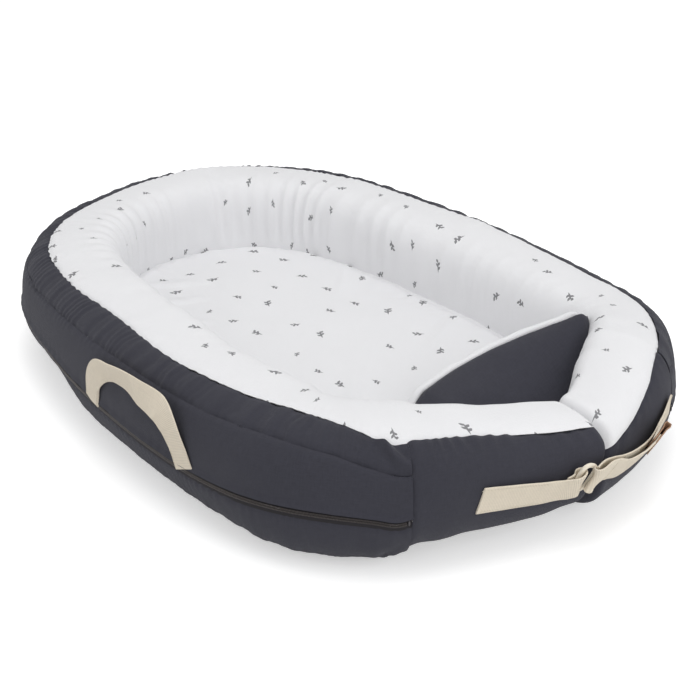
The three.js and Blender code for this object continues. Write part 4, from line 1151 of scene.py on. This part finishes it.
# %% [markdown]
# ## White lip of the foot panel
#
# The head edge of the wedge is a narrow white roll that falls to the lying surface behind it. Its profile is
# a half circle and a flare, carried along the dark edge: a profile along a path keeps the roll even.

# %% White lip
LIP_RADIUS, LIP_FLARE = 0.0050, 0.018
LIP_COLUMNS, LIP_THICK, LIP_DRAPE = 46, 0.0025, 0.06
# The roll takes this share of the profile and turns almost half round. The rest falls and flares.
ROLL_SHARE, ROLL_TURN = 0.52, 0.92 * math.pi
FALL_POWER, FLARE_POWER = 1.1, 2.2
# The lip starts this far under the dark edge, ends this far inside the lying surface, and leans to the left.
UNDER_EDGE, IN_FLOOR, LIP_LEAN = 0.0012, 0.002, 0.15
# Roll and flare are full where the edge stands at least this high, and keep this share at the low corner.
FULL_ROLL, FULL_FLARE = 0.020, 0.04
LEAST_ROLL, LEAST_FLARE = 0.15, 0.3
LIP_UNEVEN, LIP_WAVE = 0.16, 0.0011
LIP_SLANT, LIP_FOLD, LIP_FOLD_PITCH = 0.35, 0.0012, 0.021
lip_share = np.linspace(0, 1, LIP_COLUMNS)[None, :]
roll = np.clip(lip_share / ROLL_SHARE, 0, 1) * ROLL_TURN
fall = np.clip((lip_share - ROLL_SHARE) / (1 - ROLL_SHARE), 0, 1)
edge_z = panel_top[:, :1, 2] - UNDER_EDGE
floor_z = floor_height(px[:, :1], head_y[:, None]) - IN_FLOOR
rise = np.clip(edge_z - floor_z, 0, 1)
uneven = 1 + LIP_UNEVEN * ripple(px[:, :1], 0 * px[:, :1], 0.028, 1, 85)
radius = LIP_RADIUS * np.clip(rise / FULL_ROLL, LEAST_ROLL, 1) * uneven
flare = LIP_FLARE * fall**FLARE_POWER * np.clip(rise / FULL_FLARE, LEAST_FLARE, 1)
forward = radius * (1 - np.cos(roll)) + flare
upward = radius * np.sin(roll) - fall**FALL_POWER * rise
lip = np.stack([panel_x[:, None] - LIP_LEAN * forward, head_y[:, None] + forward, edge_z + upward], -1)
lip_middle = np.stack([px[:, :1], head_y[:, None] + radius, edge_z - 0.01], -1)
along_lip, over_lip = px[:, :1] + 0 * lip_share, LIP_DRAPE * lip_share + 0 * px[:, :1]
slant = along_lip + LIP_SLANT * over_lip
lip_folds = LIP_FOLD * (gathers(slant, LIP_FOLD_PITCH, 87, 1.4) - 0.3) * fall
lip_up = LIP_WAVE * ripple(slant, over_lip, 0.016, 0.02, 86) + lip_folds
lip = lip + outward(lip, lip_middle) * lip_up[..., None]
lip_map = np.stack([along_lip, over_lip], -1) + 5.0
lip_item = cloth_piece("foot_panel_lip", lip, outward(lip, lip_middle), lip_map, LIP_THICK)
finish(lip_item, white_plain, "nest")
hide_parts("foot_panel_hem")

# %% [markdown]
# ## Small bars: zip teeth and stitches
#
# A zip's coil and a row of stitches are both hundreds of short round bars. One function lays them all in one
# mesh, as arrays, with few faces for each bar.


# %% Rows of small bars
def unit(v):
    """Vectors of length one."""
    return v / np.maximum(np.linalg.norm(v, axis=-1, keepdims=True), 1e-12)


# Each ring of a bar: its place in shares of the length, and its radius in shares of half the thickness.
BAR_SHARES = ((-0.5, 0.35), (-0.3, 1.0), (0.3, 1.0), (0.5, 0.35))


def bars(name, place, along, up, long, thick):
    """Small rounded bars at place (N, 3): four six-sided rings each, along its own direction."""
    side = np.cross(along, up)
    turn = (np.arange(6) * math.pi / 3)[None, :, None]
    round_way = side[:, None] * np.cos(turn) + up[:, None] * np.sin(turn)
    rings = []
    for shift_share, swell_share in BAR_SHARES:
        rings.append((place + along * (shift_share * long))[:, None] + round_way * (thick / 2 * swell_share))
    points = np.stack(rings, 1).reshape(-1, 3)
    caps = [[0, 1, 2, 3], [0, 3, 4, 5], [21, 20, 19, 18], [23, 22, 21, 18]]
    one = np.concatenate([quads_of(4, 6, wrap=True), caps])
    faces = (one[None] + (np.arange(len(place)) * 24)[:, None, None]).reshape(-1, 4)
    return make_object(name, points, faces.tolist())


# %% [markdown]
# ## Zip
#
# A coil zip runs round the side between the plain panel and the lower band. It is two woven tapes, each with
# a row of plastic teeth along its edge. The tapes are strips of the rim's own surface, a little inside the
# dark cloth, and the teeth are bars set across the seam in two staggered rows.

# %% Zip materials
zip_cloth = cloth_finish("zip tape", linear(44, 42, 45), 0.0009, 0.85, 0.03, 0.0002, 0.03)[0]


def hard_finish(name, colour, roughness, metallic, grain, worn):
    """Plastic or metal: an even colour with fine grain in its tone, roughness and bump."""
    material, nodes, links, shader = new_material(name)
    place = nodes.new("ShaderNodeTexCoord").outputs["Object"]
    cloudy = noise_node(nodes, links, place, grain, 4.0)
    light = tuple(min(c * worn, 1) for c in colour)
    links.new(mix_colours(nodes, links, cloudy, colour, light), shader.inputs["Base Color"])
    links.new(maths(nodes, links, "MULTIPLY_ADD", cloudy, 0.16, roughness), shader.inputs["Roughness"])
    shader.inputs["Metallic"].default_value = metallic
    add_bump(nodes, links, shader, cloudy, 0.0001, 0.3)
    return material


coil_plastic = hard_finish("zip coil plastic", linear(58, 52, 50), 0.35, 0.0, 500.0, 1.3)
zip_metal = hard_finish("dark zip metal", linear(74, 72, 74), 0.30, 0.9, 300.0, 1.4)
ring_plastic = hard_finish("cream moulded plastic", linear(226, 217, 200), 0.36, 0.0, 180.0, 1.08)

# %% Zip tapes and coil
UP = np.array([0, 0, 1.0])
TAPE_HIGH = 0.0070
COIL_ROW = 0.00125
COIL_PITCH = 0.00145
TOOTH_LONG, TOOTH_THICK, TOOTH_SLANT = 0.0024, 0.0010, 0.28
STOP_LONG, STOP_THICK, STOP_IN = 0.0060, 0.0024, 0.0035
TAPE_GAP, TAPE_THICK, TAPE_END = 0.0003, 0.0007, 0.0006
TAPE_WAVE, TAPE_IN = 0.0003, 0.0004
# How far the teeth stop before the seams, and how far teeth and stops stand out of the rim.
TEETH_END, TEETH_OUT, STOP_OUT = 0.006, 0.0005, 0.0003
LEVEL = np.array([1, 1, 0])
zip_run = np.linspace(SEAM_LEFT + TAPE_END, SEAM_RIGHT - TAPE_END, 700)
for name, bottom, top in (("lower", -TAPE_HIGH, -TAPE_GAP), ("upper", TAPE_GAP, TAPE_HIGH)):
    tape_angle = angles_between(zip_angle(zip_run, bottom), zip_angle(zip_run, top), 7)
    points, centre, across, _ = rim_cloth(zip_run, tape_angle)
    normal = outward(points, centre)
    spread = zip_run[:, None] + 0 * across
    points = points + normal * (TAPE_WAVE * ripple(spread, across, 0.05, 0.02, 88) - TAPE_IN)[..., None]
    tape = cloth_piece(f"zip_tape_{name}_strip", points, normal, np.stack([spread, across], -1), TAPE_THICK)
    finish(tape, zip_cloth, "nest")
    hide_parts(f"zip_tape_{name}")

teeth_s = np.arange(SEAM_LEFT + TEETH_END, SEAM_RIGHT - TEETH_END, COIL_PITCH)
rows = []
for row, shift in ((-COIL_ROW, 0.0), (COIL_ROW, COIL_PITCH / 2)):
    here = teeth_s + shift
    angle = zip_angle(here, row)[:, None]
    spot, centre = rim_surface(here, angle)
    ahead = rim_surface(here + 0.0005, angle)[0]
    forward = unit(ahead[:, 0] - spot[:, 0])
    out = unit((spot - centre)[:, 0] * LEVEL)
    up = unit(np.cross(forward, out) * np.sign(np.cross(forward, out)[:, 2:]))
    way = unit(up + TOOTH_SLANT * forward * math.copysign(1, row))
    rows.append((spot[:, 0] + out * TEETH_OUT, way, out))
place, along, out = (np.concatenate(parts) for parts in zip(*rows))
coil = bars("zip_coil_teeth", place, along, out, TOOTH_LONG, TOOTH_THICK)
finish(coil, coil_plastic, "nest")
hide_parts("zip_coil")
for side, end_s in (("left", SEAM_LEFT + STOP_IN), ("right", SEAM_RIGHT - STOP_IN)):
    spot, centre = rim_surface(np.array([end_s]), zip_angle(np.array([end_s]))[:, None])
    out = unit((spot - centre)[:, 0] * LEVEL)
    stop = bars(f"zip_end_{side}", spot[:, 0] + out * STOP_OUT, UP[None], out, STOP_LONG, STOP_THICK)
    finish(stop, zip_metal, "nest")
    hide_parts(f"zip_stop_{side}")
for node in ("zip_slider", "zip_pull"):
    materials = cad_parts[node].data.materials
    materials.clear()
    materials.append(zip_metal)
print("zip teeth", len(place))

# %% [markdown]
# ## Webbing
#
# Straps and handles are flat cotton webbing. A flat strap has a rounded section that is swept along a line,
# with its width turned as the strap turns. The weave follows the strap, because its map is laid along it.


# %% Flat strap along a line
WEBBING = 0.029
WEBBING_THICK = 0.002
EDGE_POINTS, FLAT_POINTS = 9, 9
STITCH_PITCH, STITCH_LONG, STITCH_THICK = 0.0032, 0.0024, 0.0006
STITCH_LIFT = 0.0011


def smooth_line(points, count):
    """Evenly spaced points on a smooth run through the given ones, made of cubic Hermite pieces."""
    p = np.array(points, float)
    slope = np.gradient(p, axis=0)
    t = np.linspace(0, len(p) - 1, 40 * len(p))
    i = np.minimum(t.astype(int), len(p) - 2)
    f = (t - i)[:, None]
    a, b, m, n = p[i], p[i + 1], slope[i], slope[i + 1]
    places = (2 * f**3 - 3 * f**2 + 1) * a + (3 * f**2 - 2 * f**3) * b
    slopes = (f**3 - 2 * f**2 + f) * m + (f**3 - f**2) * n
    fine = places + slopes
    walked = walk(fine[:, :2])
    even = np.linspace(0, walked[-1], count)
    return np.stack([np.interp(even, walked, fine[:, k]) for k in range(p.shape[1])], -1)


def walk(line):
    """Length walked along a line at each of its points."""
    return np.concatenate([[0], np.cumsum(np.linalg.norm(np.diff(line, axis=0), axis=1))])


def flat_section(width, thick):
    """A flat section with half-round edges, as offsets across and through."""
    r = thick / 2
    turn = np.linspace(-math.pi / 2, math.pi / 2, EDGE_POINTS)
    right = np.stack([width / 2 - r + r * np.cos(turn), r * np.sin(turn)], -1)
    flat = np.linspace(width / 2 - r, -width / 2 + r, FLAT_POINTS + 2)[1:-1]
    top = np.stack([flat, np.full(FLAT_POINTS, r)], -1)
    return np.concatenate([right, top, -right, -top])


def strap(name, line, across, seed, width=WEBBING, thick=WEBBING_THICK, waver=0.0004, slant=0, bow=0):
    """A flat strap along a line, its width along across. slant and bow move its points in proportion to their
    offset from the middle and to its square."""
    tangent = unit(np.gradient(line, axis=0))
    across = unit(across - tangent * np.sum(across * tangent, axis=1, keepdims=True))
    normal = np.cross(tangent, across)
    section = flat_section(width, thick)
    walked = walk(line)[:, None]
    off = section[:, 0][None, :]
    through = section[:, 1][None, :] + waver * ripple(walked, off, 0.022, 0.014, seed)
    side = off[..., None] / (width / 2)
    rings = line[:, None, :] + across[:, None, :] * off[..., None] + normal[:, None, :] * through[..., None]
    for move, power in ((slant, 1), (bow, 2)):
        if np.ndim(move):
            rings = rings + move[:, None, :] * side**power
    return tube_piece(name, rings, np.stack([walked + 0 * off, off + 0 * walked], -1), sharp=math.radians(65))


def stitch_row(line, out):
    """Places and directions of the stitches along a line."""
    walked = walk(line)
    at = np.arange(STITCH_PITCH / 2, walked[-1], STITCH_PITCH)
    place = np.stack([np.interp(at, walked, line[:, k]) for k in range(3)], -1)
    ahead = np.stack([np.interp(at + 1e-4, walked, line[:, k]) for k in range(3)], -1)
    normal = unit(np.stack([np.interp(at, walked, out[:, k]) for k in range(3)], -1))
    return place, unit(ahead - place + 1e-9), normal


def sew(name, rows, body=None):
    """One mesh of stitches for several rows."""
    place, along, out = (np.concatenate(parts) for parts in zip(*rows))
    item = bars(name, place, along, unit(out), STITCH_LONG, STITCH_THICK)
    return finish(item, thread, body)


thread = cloth_finish("sewing thread", linear(222, 212, 194), 0.0004, 0.8, 0.05, 0.0001, 0.01)[0]

# %% [markdown]
# ## Carrying handles
#
# Each handle is one strip sewn to the side by its two feet. The near one stands up and rolls its face to the
# sky as it bends over, the far one hangs down. A path of a few points gives the loop, and the strip's width
# turns along it from flat against the side to half lying.

# %% Handles
HANDLE_PLACE = -0.090
HANDLE_FOOT = 0.075
HANDLE_POINTS, FOOT_POINTS = 120, 12
FOOT_SEAM = 0.0125


def side_place(side, distance, height):
    """Points on the rim's outer face at distances from the tip and one height, and the outward directions."""
    at = half_station(PLANS[side], distance)
    high = (RIM_HEIGHT - at["raise"]) / 2 * (1 - TIP_HEIGHT_LOSS * at["end_share"])
    middle = RIM_LIFT + at["raise"] + TIP_LIFT * at["end_share"] + high
    up = np.clip(np.abs(height - middle) / high, 0, 0.98)
    width = OUTER_HALF * (1 - TIP_WIDTH_LOSS * at["end_share"])
    full = width - at["outer_trim"]
    inset = width - full * (1 - up**OUTER_POWER) ** (1 / OUTER_POWER)
    flat = at["point"] + at["inset"] * inset[:, None]
    spots = np.concatenate([flat, height + 0 * inset[:, None]], axis=1)
    return spots, np.concatenate([-at["inset"], 0 * inset[:, None]], axis=1)


def side_distance(side, y):
    """Distance from the tip at which the long side reaches a place along the nest."""
    plan = PLANS[side]
    d = np.linspace(plan["ends"][1], plan["ends"][2], 400)
    return float(np.interp(y, half_station(plan, d)["point"][:, 1], d))


# A handle's path: distance from its middle to the head, rise above its feet, stand-off, lean of its face.
STANDING = [
    (0.1030, -0.0055, 0.0018, 0.00),
    (0.1000, 0.0080, 0.0020, 0.00),
    (0.0945, 0.0240, 0.0026, -0.06),
    (0.0800, 0.0400, 0.0030, -0.20),
    (0.0655, 0.0465, 0.0022, -0.34),
    (0.0500, 0.0490, 0.0010, -0.38),
    (0.0240, 0.0515, 0.0000, -0.22),
    (-0.0055, 0.0495, 0.0010, 0.14),
    (-0.0305, 0.0505, 0.0030, 0.38),
    (-0.0455, 0.0485, 0.0045, 0.40),
    (-0.0580, 0.0370, 0.0050, 0.22),
    (-0.0660, 0.0230, 0.0040, 0.06),
    (-0.0730, 0.0090, 0.0026, 0.00),
    (-0.0800, -0.0065, 0.0018, 0.00),
]
HANGING = [(along, -rise, 0.0018 + stand * 0.4, -lean * 0.3) for along, rise, stand, lean in STANDING]


def handle(side, path, seed):
    """A handle from its path, with the stitches of its two feet."""
    p = smooth_line(path, HANDLE_POINTS)
    spots, out = side_place(side, side_distance(side, HANDLE_PLACE) + p[:, 0], HANDLE_FOOT)
    line = spots + out * p[:, 2:3] + UP * p[:, 1:2]
    lean = p[:, 3:4]
    face = unit(out * np.cos(lean) + UP * np.sin(lean))
    across = unit(np.cross(face, unit(np.gradient(line, axis=0))))
    item = strap(f"carry_handle_{side}", line, across, seed, waver=0.0007)
    finish(item, webbing)
    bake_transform(item)
    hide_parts(f"handle_{side}")
    rows = []
    for foot in (slice(0, FOOT_POINTS), slice(-FOOT_POINTS, None)):
        for shift in (-FOOT_SEAM, FOOT_SEAM):
            row = line[foot] + across[foot] * shift + face[foot] * STITCH_LIFT
            rows.append(stitch_row(row, face[foot]))
    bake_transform(sew(f"handle_stitches_{side}", rows))


handle("left", STANDING, 93)
handle("right", HANGING, 94)

# %% [markdown]
# ## Closing strap
#
# The strap that closes the foot has a short part with the ring on the left end, and a long part on the right
# end that runs through the ring and folds back on itself. Each is a flat strip whose line is a list of
# distances from the tip, stand-offs from the end's face and leans of its upper edge, the way the layers lie
# on the real strap.

# %% Strap lines
# Height of the strap's middle line, and the lean of its upper edge away from the rim, by the distance from
# the tip: the strap dips where it is pulled round the belly of an end.
STRAP_HEIGHT = {
    "left": [(0.027, 0.0775), (0.040, 0.0722), (0.060, 0.0712), (0.082, 0.0728), (0.137, 0.0780)],
    "right": [
        (-0.024, 0.0828), (-0.005, 0.0842), (0.008, 0.0808), (0.030, 0.0732), (0.060, 0.0684),
        (0.085, 0.0676), (0.100, 0.0698), (0.118, 0.0752), (0.135, 0.0810), (0.156, 0.0862),
    ],
}
STRAP_LEAN = {
    "left": [(0.027, 0.28), (0.040, 0.34), (0.060, 0.26), (0.082, 0.18), (0.137, 0.04)],
    "right": [
        (-0.024, 0.40), (0.000, 0.42), (0.014, 0.42), (0.030, 0.42), (0.050, 0.46), (0.090, 0.40),
        (0.120, 0.25), (0.156, 0.10),
    ],
}
LEFT_MIRROR = np.array([-1, 1])
OUT_LEFT = np.append(-LEFT["inward"] * LEFT_MIRROR, 0)
ALONG = {"left": np.append(LEFT["along"] * LEFT_MIRROR, 0), "right": np.append(RIGHT["along"], 0)}
# How far along a strap the slant of its start and of its end reaches, and where it runs into the ring.
START_REACH, END_REACH = 0.018, 0.030
INTO_RING, INTO_RING_RUN = 0.004, 0.014
STRAP_SEAM = 0.0122


def strap_line(side, path, count):
    """Strap points, the directions of their upper edge and their face, and the distances from the tip, from
    rows of (distance, stand-off, extra lean, drop) beside an end."""
    plan = PLANS[side]
    p = smooth_line([(*row, 0, 0)[:4] for row in path], count)
    d = p[:, 0]
    mirror = np.array([plan["hand"], 1])
    straight = (plan["tip"] + plan["along"] * d[:, None]) * mirror
    curved = half_station(plan, np.maximum(d, 0.001))
    on_arc = (d > plan["ends"][0])[:, None]
    face = np.where(on_arc, curved["point"], straight)
    outward_way = np.where(on_arc, -curved["inset"], -plan["inward"] * mirror)
    height = along_points(d, STRAP_HEIGHT[side]) - p[:, 3]
    lean = (along_points(d, STRAP_LEAN[side]) + p[:, 2])[:, None]
    stand = p[:, 1:2] - curved["outer_trim"][:, None]
    line = np.concatenate([face + outward_way * stand, height[:, None]], axis=1)
    out = np.concatenate([outward_way, 0 * stand], axis=1)
    return line, UP * np.cos(lean) + out * np.sin(lean), out * np.cos(lean) - UP * np.sin(lean), d


def end_strap(name, side, path, count, node, seed, body=None, ends=(0, 0), bow=0, turn=0):
    """One part of the closing strap beside an end. ends slants its two ends, and bow and turn shape its
    stretch in the ring."""
    line, across, _, d = strap_line(side, path, count)
    walked = walk(line)[:, None]
    at_ends = ends[0] * bell(walked, START_REACH) + ends[1] * bell(walked[-1] - walked, END_REACH)
    in_ring = ease((INTO_RING - d) / INTO_RING_RUN)[:, None]
    slant = ALONG[side] * (at_ends + turn * in_ring)
    item = strap(name, line, across, seed, slant=slant, bow=ALONG[side] * (bow * in_ring))
    finish(item, webbing, body)
    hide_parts(node)
    if not body:
        bend_with(item)
    return line, across


SHORT_PATH = [
    (0.1370, 0.0016), (0.1200, 0.0018), (0.0900, 0.0028), (0.0630, 0.0042), (0.0490, 0.0062),
    (0.0406, 0.0094), (0.0336, 0.0120), (0.0286, 0.0110), (0.0272, 0.0072), (0.0302, 0.0034),
    (0.0356, 0.0028), (0.0446, 0.0028),
]
end_strap("strap_short_part", "left", SHORT_PATH, 120, "strap_short", 95, ends=(-0.0027, -0.0050))

BASE_PATH = [
    (0.1560, 0.0014), (0.1380, 0.0018), (0.1200, 0.0030), (0.1000, 0.0038), (0.0800, 0.0040),
    (0.0600, 0.0037), (0.0300, 0.0034), (0.0060, 0.0032),
]
end_strap("strap_long_part", "right", BASE_PATH, 90, "strap_base", 96)

FOLD_PATH = [
    (0.0060, 0.0032), (0.0000, 0.0030), (-0.0080, 0.0030), (-0.0170, 0.0034), (-0.0222, 0.0050),
    (-0.0235, 0.0072), (-0.0220, 0.0096), (-0.0175, 0.0111), (-0.0110, 0.0112), (-0.0050, 0.0108),
    (0.0005, 0.0104), (0.0060, 0.0102),
]
end_strap("strap_turn", "right", FOLD_PATH, 80, "strap_fold", 97, "right_end", bow=-0.0030, turn=0.0022)

TAIL_PATH = [
    (0.0060, 0.0102, 0.00, 0.0000), (0.0200, 0.0095, 0.05, 0.0012), (0.0350, 0.0088, 0.08, 0.0020),
    (0.0500, 0.0094, 0.10, 0.0008), (0.0650, 0.0105, 0.12, -0.0014), (0.0800, 0.0120, 0.12, -0.0052),
    (0.0930, 0.0130, 0.10, -0.0088),
]
tail_line, tail_across = end_strap("strap_tail_part", "right", TAIL_PATH, 80, "strap_tail", 98, "tail")

# %% Strap stitches
for side, path in (("left", SHORT_PATH[:4]), ("right", BASE_PATH[:4])):
    line, across, face, _ = strap_line(side, path, 60)
    seams = [line + across * shift + face * STITCH_LIFT for shift in (-STRAP_SEAM, STRAP_SEAM)]
    sew(f"strap_stitches_{side}", [stitch_row(seam, face) for seam in seams], f"{side}_end")

# %% [markdown]
# ## Ring
#
# The short part holds a cream plastic ring shaped like a D: a straight bar in the strap's loop and a round
# side that the long part runs over. It is a flat oval wire carried along that closed line, and the pull of
# the strap has turned it a little in its own plane.

# %% Ring
RING_BAR, RING_FAR = 0.0320, 0.0150
RING_LAYER = 0.0070
RING_RISE, RING_LEAN, RING_TURN = 0.0800, 0.30, 0.34
RING_HIGH = 0.0400
RING_WIDE, RING_DEEP = 0.0052, 0.0044
RING_LONG = RING_BAR - RING_FAR + RING_WIDE
BAR_CORNER, ROUND_CORNER = 0.0060, 0.0100


def ring_outline(count):
    """Centre line of the D: four quarter circles, tight at the bar and wide on the round side."""
    long, high = (RING_LONG - RING_WIDE) / 2, (RING_HIGH - RING_WIDE) / 2
    corners = ((1, 1, BAR_CORNER), (-1, 1, ROUND_CORNER), (-1, -1, ROUND_CORNER), (1, -1, BAR_CORNER))
    runs = []
    for quarter, (sx, sz, radius) in enumerate(corners):
        turn = (quarter + np.linspace(0, 1, 9)) * math.pi / 2
        x = sx * (long - radius) + radius * np.cos(turn)
        z = sz * (high - radius) + radius * np.sin(turn)
        runs.append(np.stack([x, z], -1))
    line = np.concatenate(runs + [runs[0][:1]])
    walked = walk(line)
    even = np.linspace(0, walked[-1], count, endpoint=False)
    return np.stack([np.interp(even, walked, line[:, k]) for k in range(2)], -1)


cos, sin = math.cos(RING_TURN), math.sin(RING_TURN)
ring_line = ring_outline(140) @ np.array([[cos, sin], [-sin, cos]])
ring_middle = (RING_BAR + RING_FAR) / 2
ring_up = UP * math.cos(RING_LEAN) + OUT_LEFT * math.sin(RING_LEAN)
ring_out = OUT_LEFT * math.cos(RING_LEAN) - UP * math.sin(RING_LEAN)
ring_start = np.append(LEFT["tip"] * LEFT_MIRROR, RING_RISE) + OUT_LEFT * RING_LAYER
ring_centre = ring_start + ALONG["left"] * (ring_middle + ring_line[:, :1]) + ring_up * ring_line[:, 1:]
ahead = unit(np.roll(ring_centre, -1, axis=0) - np.roll(ring_centre, 1, axis=0))
sideways = np.cross(ahead, ring_out)
turn = np.linspace(0, 2 * math.pi, 16, endpoint=False)
wide = sideways[:, None] * (RING_WIDE / 2 * np.cos(turn))[None, :, None]
deep = ring_out * (RING_DEEP / 2 * np.sin(turn))[None, :, None]
ring = tube_piece("closing_ring", ring_centre[:, None] + wide + deep, closed_run=True)
finish(ring, ring_plastic, "ring")
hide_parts("strap_ring")

# %% [markdown]
# ## Leather tab and closure patches
#
# A folded strip of brown leather covers the strap's end, so that fingers find it. Leather has a pebbled grain
# and an uneven tone. Under the tail lie the two halves of a hook and loop closure.

# %% Leather tab
leather, nodes, links, shader = new_material("brown leather")
place = nodes.new("ShaderNodeTexCoord").outputs["Object"]
grain = nodes.new("ShaderNodeTexVoronoi")
grain.inputs["Scale"].default_value = 900.0
links.new(place, grain.inputs["Vector"])
tone = noise_node(nodes, links, place, 90.0, 5.0)
brown = mix_colours(nodes, links, tone, linear(118, 88, 66), linear(176, 140, 112))
links.new(brown, shader.inputs["Base Color"])
links.new(maths(nodes, links, "MULTIPLY_ADD", tone, 0.2, 0.48), shader.inputs["Roughness"])
add_bump(nodes, links, shader, grain.outputs["Distance"], 0.00025, 0.5)

TAB_WIDTH, TAB_THICK = 0.0325, 0.0014
TAB_REACH = 0.0125
TAB_SEAM, TAB_SEAM_HALF = -0.0085, 0.014
tail_end, tail_way = tail_line[-1], unit(tail_line[-1] - tail_line[-6])
tab_across = tail_across[-1]
tab_face = unit(np.cross(tail_way, tab_across))
gap = WEBBING_THICK / 2 + TAB_THICK / 2 + 0.0002
half_loop = [(-0.011, gap), (-0.004, gap), (0.004, 0.95 * gap), (TAB_REACH - 0.0022, 0.75 * gap)]
loop = smooth_line(half_loop + [(TAB_REACH, 0.0)] + [(a, -b) for a, b in half_loop[::-1]], 60)
tab_line = tail_end + tail_way * loop[:, :1] + tab_face * loop[:, 1:2]
tab_width_way = np.broadcast_to(tab_across, tab_line.shape)
tab = strap("strap_end_tab", tab_line, tab_width_way, 99, TAB_WIDTH, TAB_THICK, 0.0002)
finish(tab, leather, "tail")
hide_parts("leather_tab")
rows = []
for sign in (-1, 1):
    edge_line = tail_end + tail_way * TAB_SEAM
    edge_line = edge_line + tab_across * np.linspace(-TAB_SEAM_HALF, TAB_SEAM_HALF, 20)[:, None]
    face = tab_face * sign
    rows.append(stitch_row(edge_line + face * (gap + TAB_THICK / 2), np.broadcast_to(face, edge_line.shape)))
sew("tab_stitches", rows, "tail")

# %% Hook and loop patches
PATCH_WIDE, PATCH_THICK = 0.024, 0.0008
patch_cloth = cloth_finish("hook and loop", linear(214, 206, 190), 0.0009, 0.95, 0.3, 0.0006, 0.03)[0]
LOOP_PATH = [(0.030, 0.0050), (0.045, 0.0051), (0.060, 0.0053)]
HOOK_PATH = [(0.030, 0.0075, 0.07, 0.0025), (0.045, 0.0074, 0.09, 0.003), (0.060, 0.0082, 0.11, 0.003)]
for name, body, path in (("loop", "right_end", LOOP_PATH), ("hook", "tail", HOOK_PATH)):
    line, across, _, _ = strap_line("right", path, 24)
    patch = strap(f"{name}_strip", line, across, 101, PATCH_WIDE, PATCH_THICK)
    finish(patch, patch_cloth, body)
    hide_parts(f"{name}_patch")

# %% [markdown]
# ## Floor, light and camera
#
# The nest stands on a plain pale floor under large soft lamps, as in a daylight studio. The floor looks white
# to the camera and still takes the nest's soft shadow. The camera's place was worked out from the outline of
# the nest, so it is given as two angles, a distance and a lens.

# %% Floor
FLOOR_HALF, FLOOR_DROP = 6.0, 0.0005
FLOOR_GLOW = 0.44


def seen_directly(nodes, links):
    """1 for rays from the camera and for mirrored and transmitted ones, 0 for the rest."""
    rays = nodes.new("ShaderNodeLightPath").outputs
    seen = maths(nodes, links, "MAXIMUM", rays["Is Camera Ray"], rays["Is Glossy Ray"])
    return maths(nodes, links, "MAXIMUM", seen, rays["Is Transmission Ray"])


floor_material, nodes, links, shader = new_material("pale floor")
shader.inputs["Base Color"].default_value = (0.9, 0.9, 0.9, 1)
shader.inputs["Roughness"].default_value = 0.9
shader.inputs["Specular IOR Level"].default_value = 0.1
glow = nodes.new("ShaderNodeEmission")
glow.inputs["Color"].default_value = (1, 1, 1, 1)
blend_shader = nodes.new("ShaderNodeAddShader")
seen = seen_directly(nodes, links)
links.new(maths(nodes, links, "MULTIPLY", seen, FLOOR_GLOW), glow.inputs["Strength"])
links.new(shader.outputs[0], blend_shader.inputs[0])
links.new(glow.outputs[0], blend_shader.inputs[1])
links.new(blend_shader.outputs[0], nodes["Material Output"].inputs["Surface"])
floor_corners = np.array([(-1, -1, 0), (1, -1, 0), (1, 1, 0), (-1, 1, 0)]) * FLOOR_HALF
floor = make_object("floor_plate", floor_corners - UP * FLOOR_DROP, [[0, 1, 2, 3]])
floor.data.materials.append(floor_material)

# %% World and lamps
AMBIENT = 0.60
world = bpy.data.worlds.new("studio")
bpy.context.scene.world = world
world.use_nodes = True
sky = world.node_tree
back = sky.nodes["Background"]
seen = seen_directly(sky.nodes, sky.links)
brightness = maths(sky.nodes, sky.links, "MULTIPLY_ADD", seen, 1 - AMBIENT, AMBIENT)
sky.links.new(brightness, back.inputs["Strength"])
back.inputs["Color"].default_value = (1, 1, 1, 1)


def softbox(name, place, size, power):
    """A square lamp that faces the nest."""
    lamp = bpy.data.lights.new(name, "AREA")
    lamp.shape = "SQUARE"
    lamp.size = size
    lamp.energy = power
    item = bpy.data.objects.new(name, lamp)
    item.location = place
    aim = np.array([0, 0, 0.08]) - np.array(place)
    item.rotation_euler = Vector(aim).to_track_quat("-Z", "Y").to_euler()
    bpy.context.scene.collection.objects.link(item)


softbox("overhead", (-0.2, -0.1, 2.3), 1.6, 17)
softbox("left_window", (-2.2, 0.1, 1.4), 1.6, 6)
softbox("front_fill", (0.2, -2.3, 1.2), 1.6, 16)

# %% Camera
AZIMUTH, ELEVATION = math.radians(-37.33), math.radians(26.05)
DISTANCE = 1.8575
SENSOR, LENS = 36, 79.4
SHIFT_X, SHIFT_Y = 0.0409, -0.0357
TARGET = np.array([0, 0, 0.075])
back_way = np.array([
    math.sin(AZIMUTH) * math.cos(ELEVATION),
    -math.cos(AZIMUTH) * math.cos(ELEVATION),
    math.sin(ELEVATION),
])
camera_data = bpy.data.cameras.new("camera")
camera_data.sensor_width = SENSOR
camera_data.lens = LENS
camera_data.shift_x, camera_data.shift_y = SHIFT_X, SHIFT_Y
camera = bpy.data.objects.new("camera", camera_data)
camera.location = TARGET + back_way * DISTANCE
camera.rotation_euler = Vector(-back_way).to_track_quat("-Z", "Y").to_euler()
bpy.context.scene.collection.objects.link(camera)
bpy.context.scene.camera = camera

bpy.context.scene.view_settings.view_transform = "Standard"
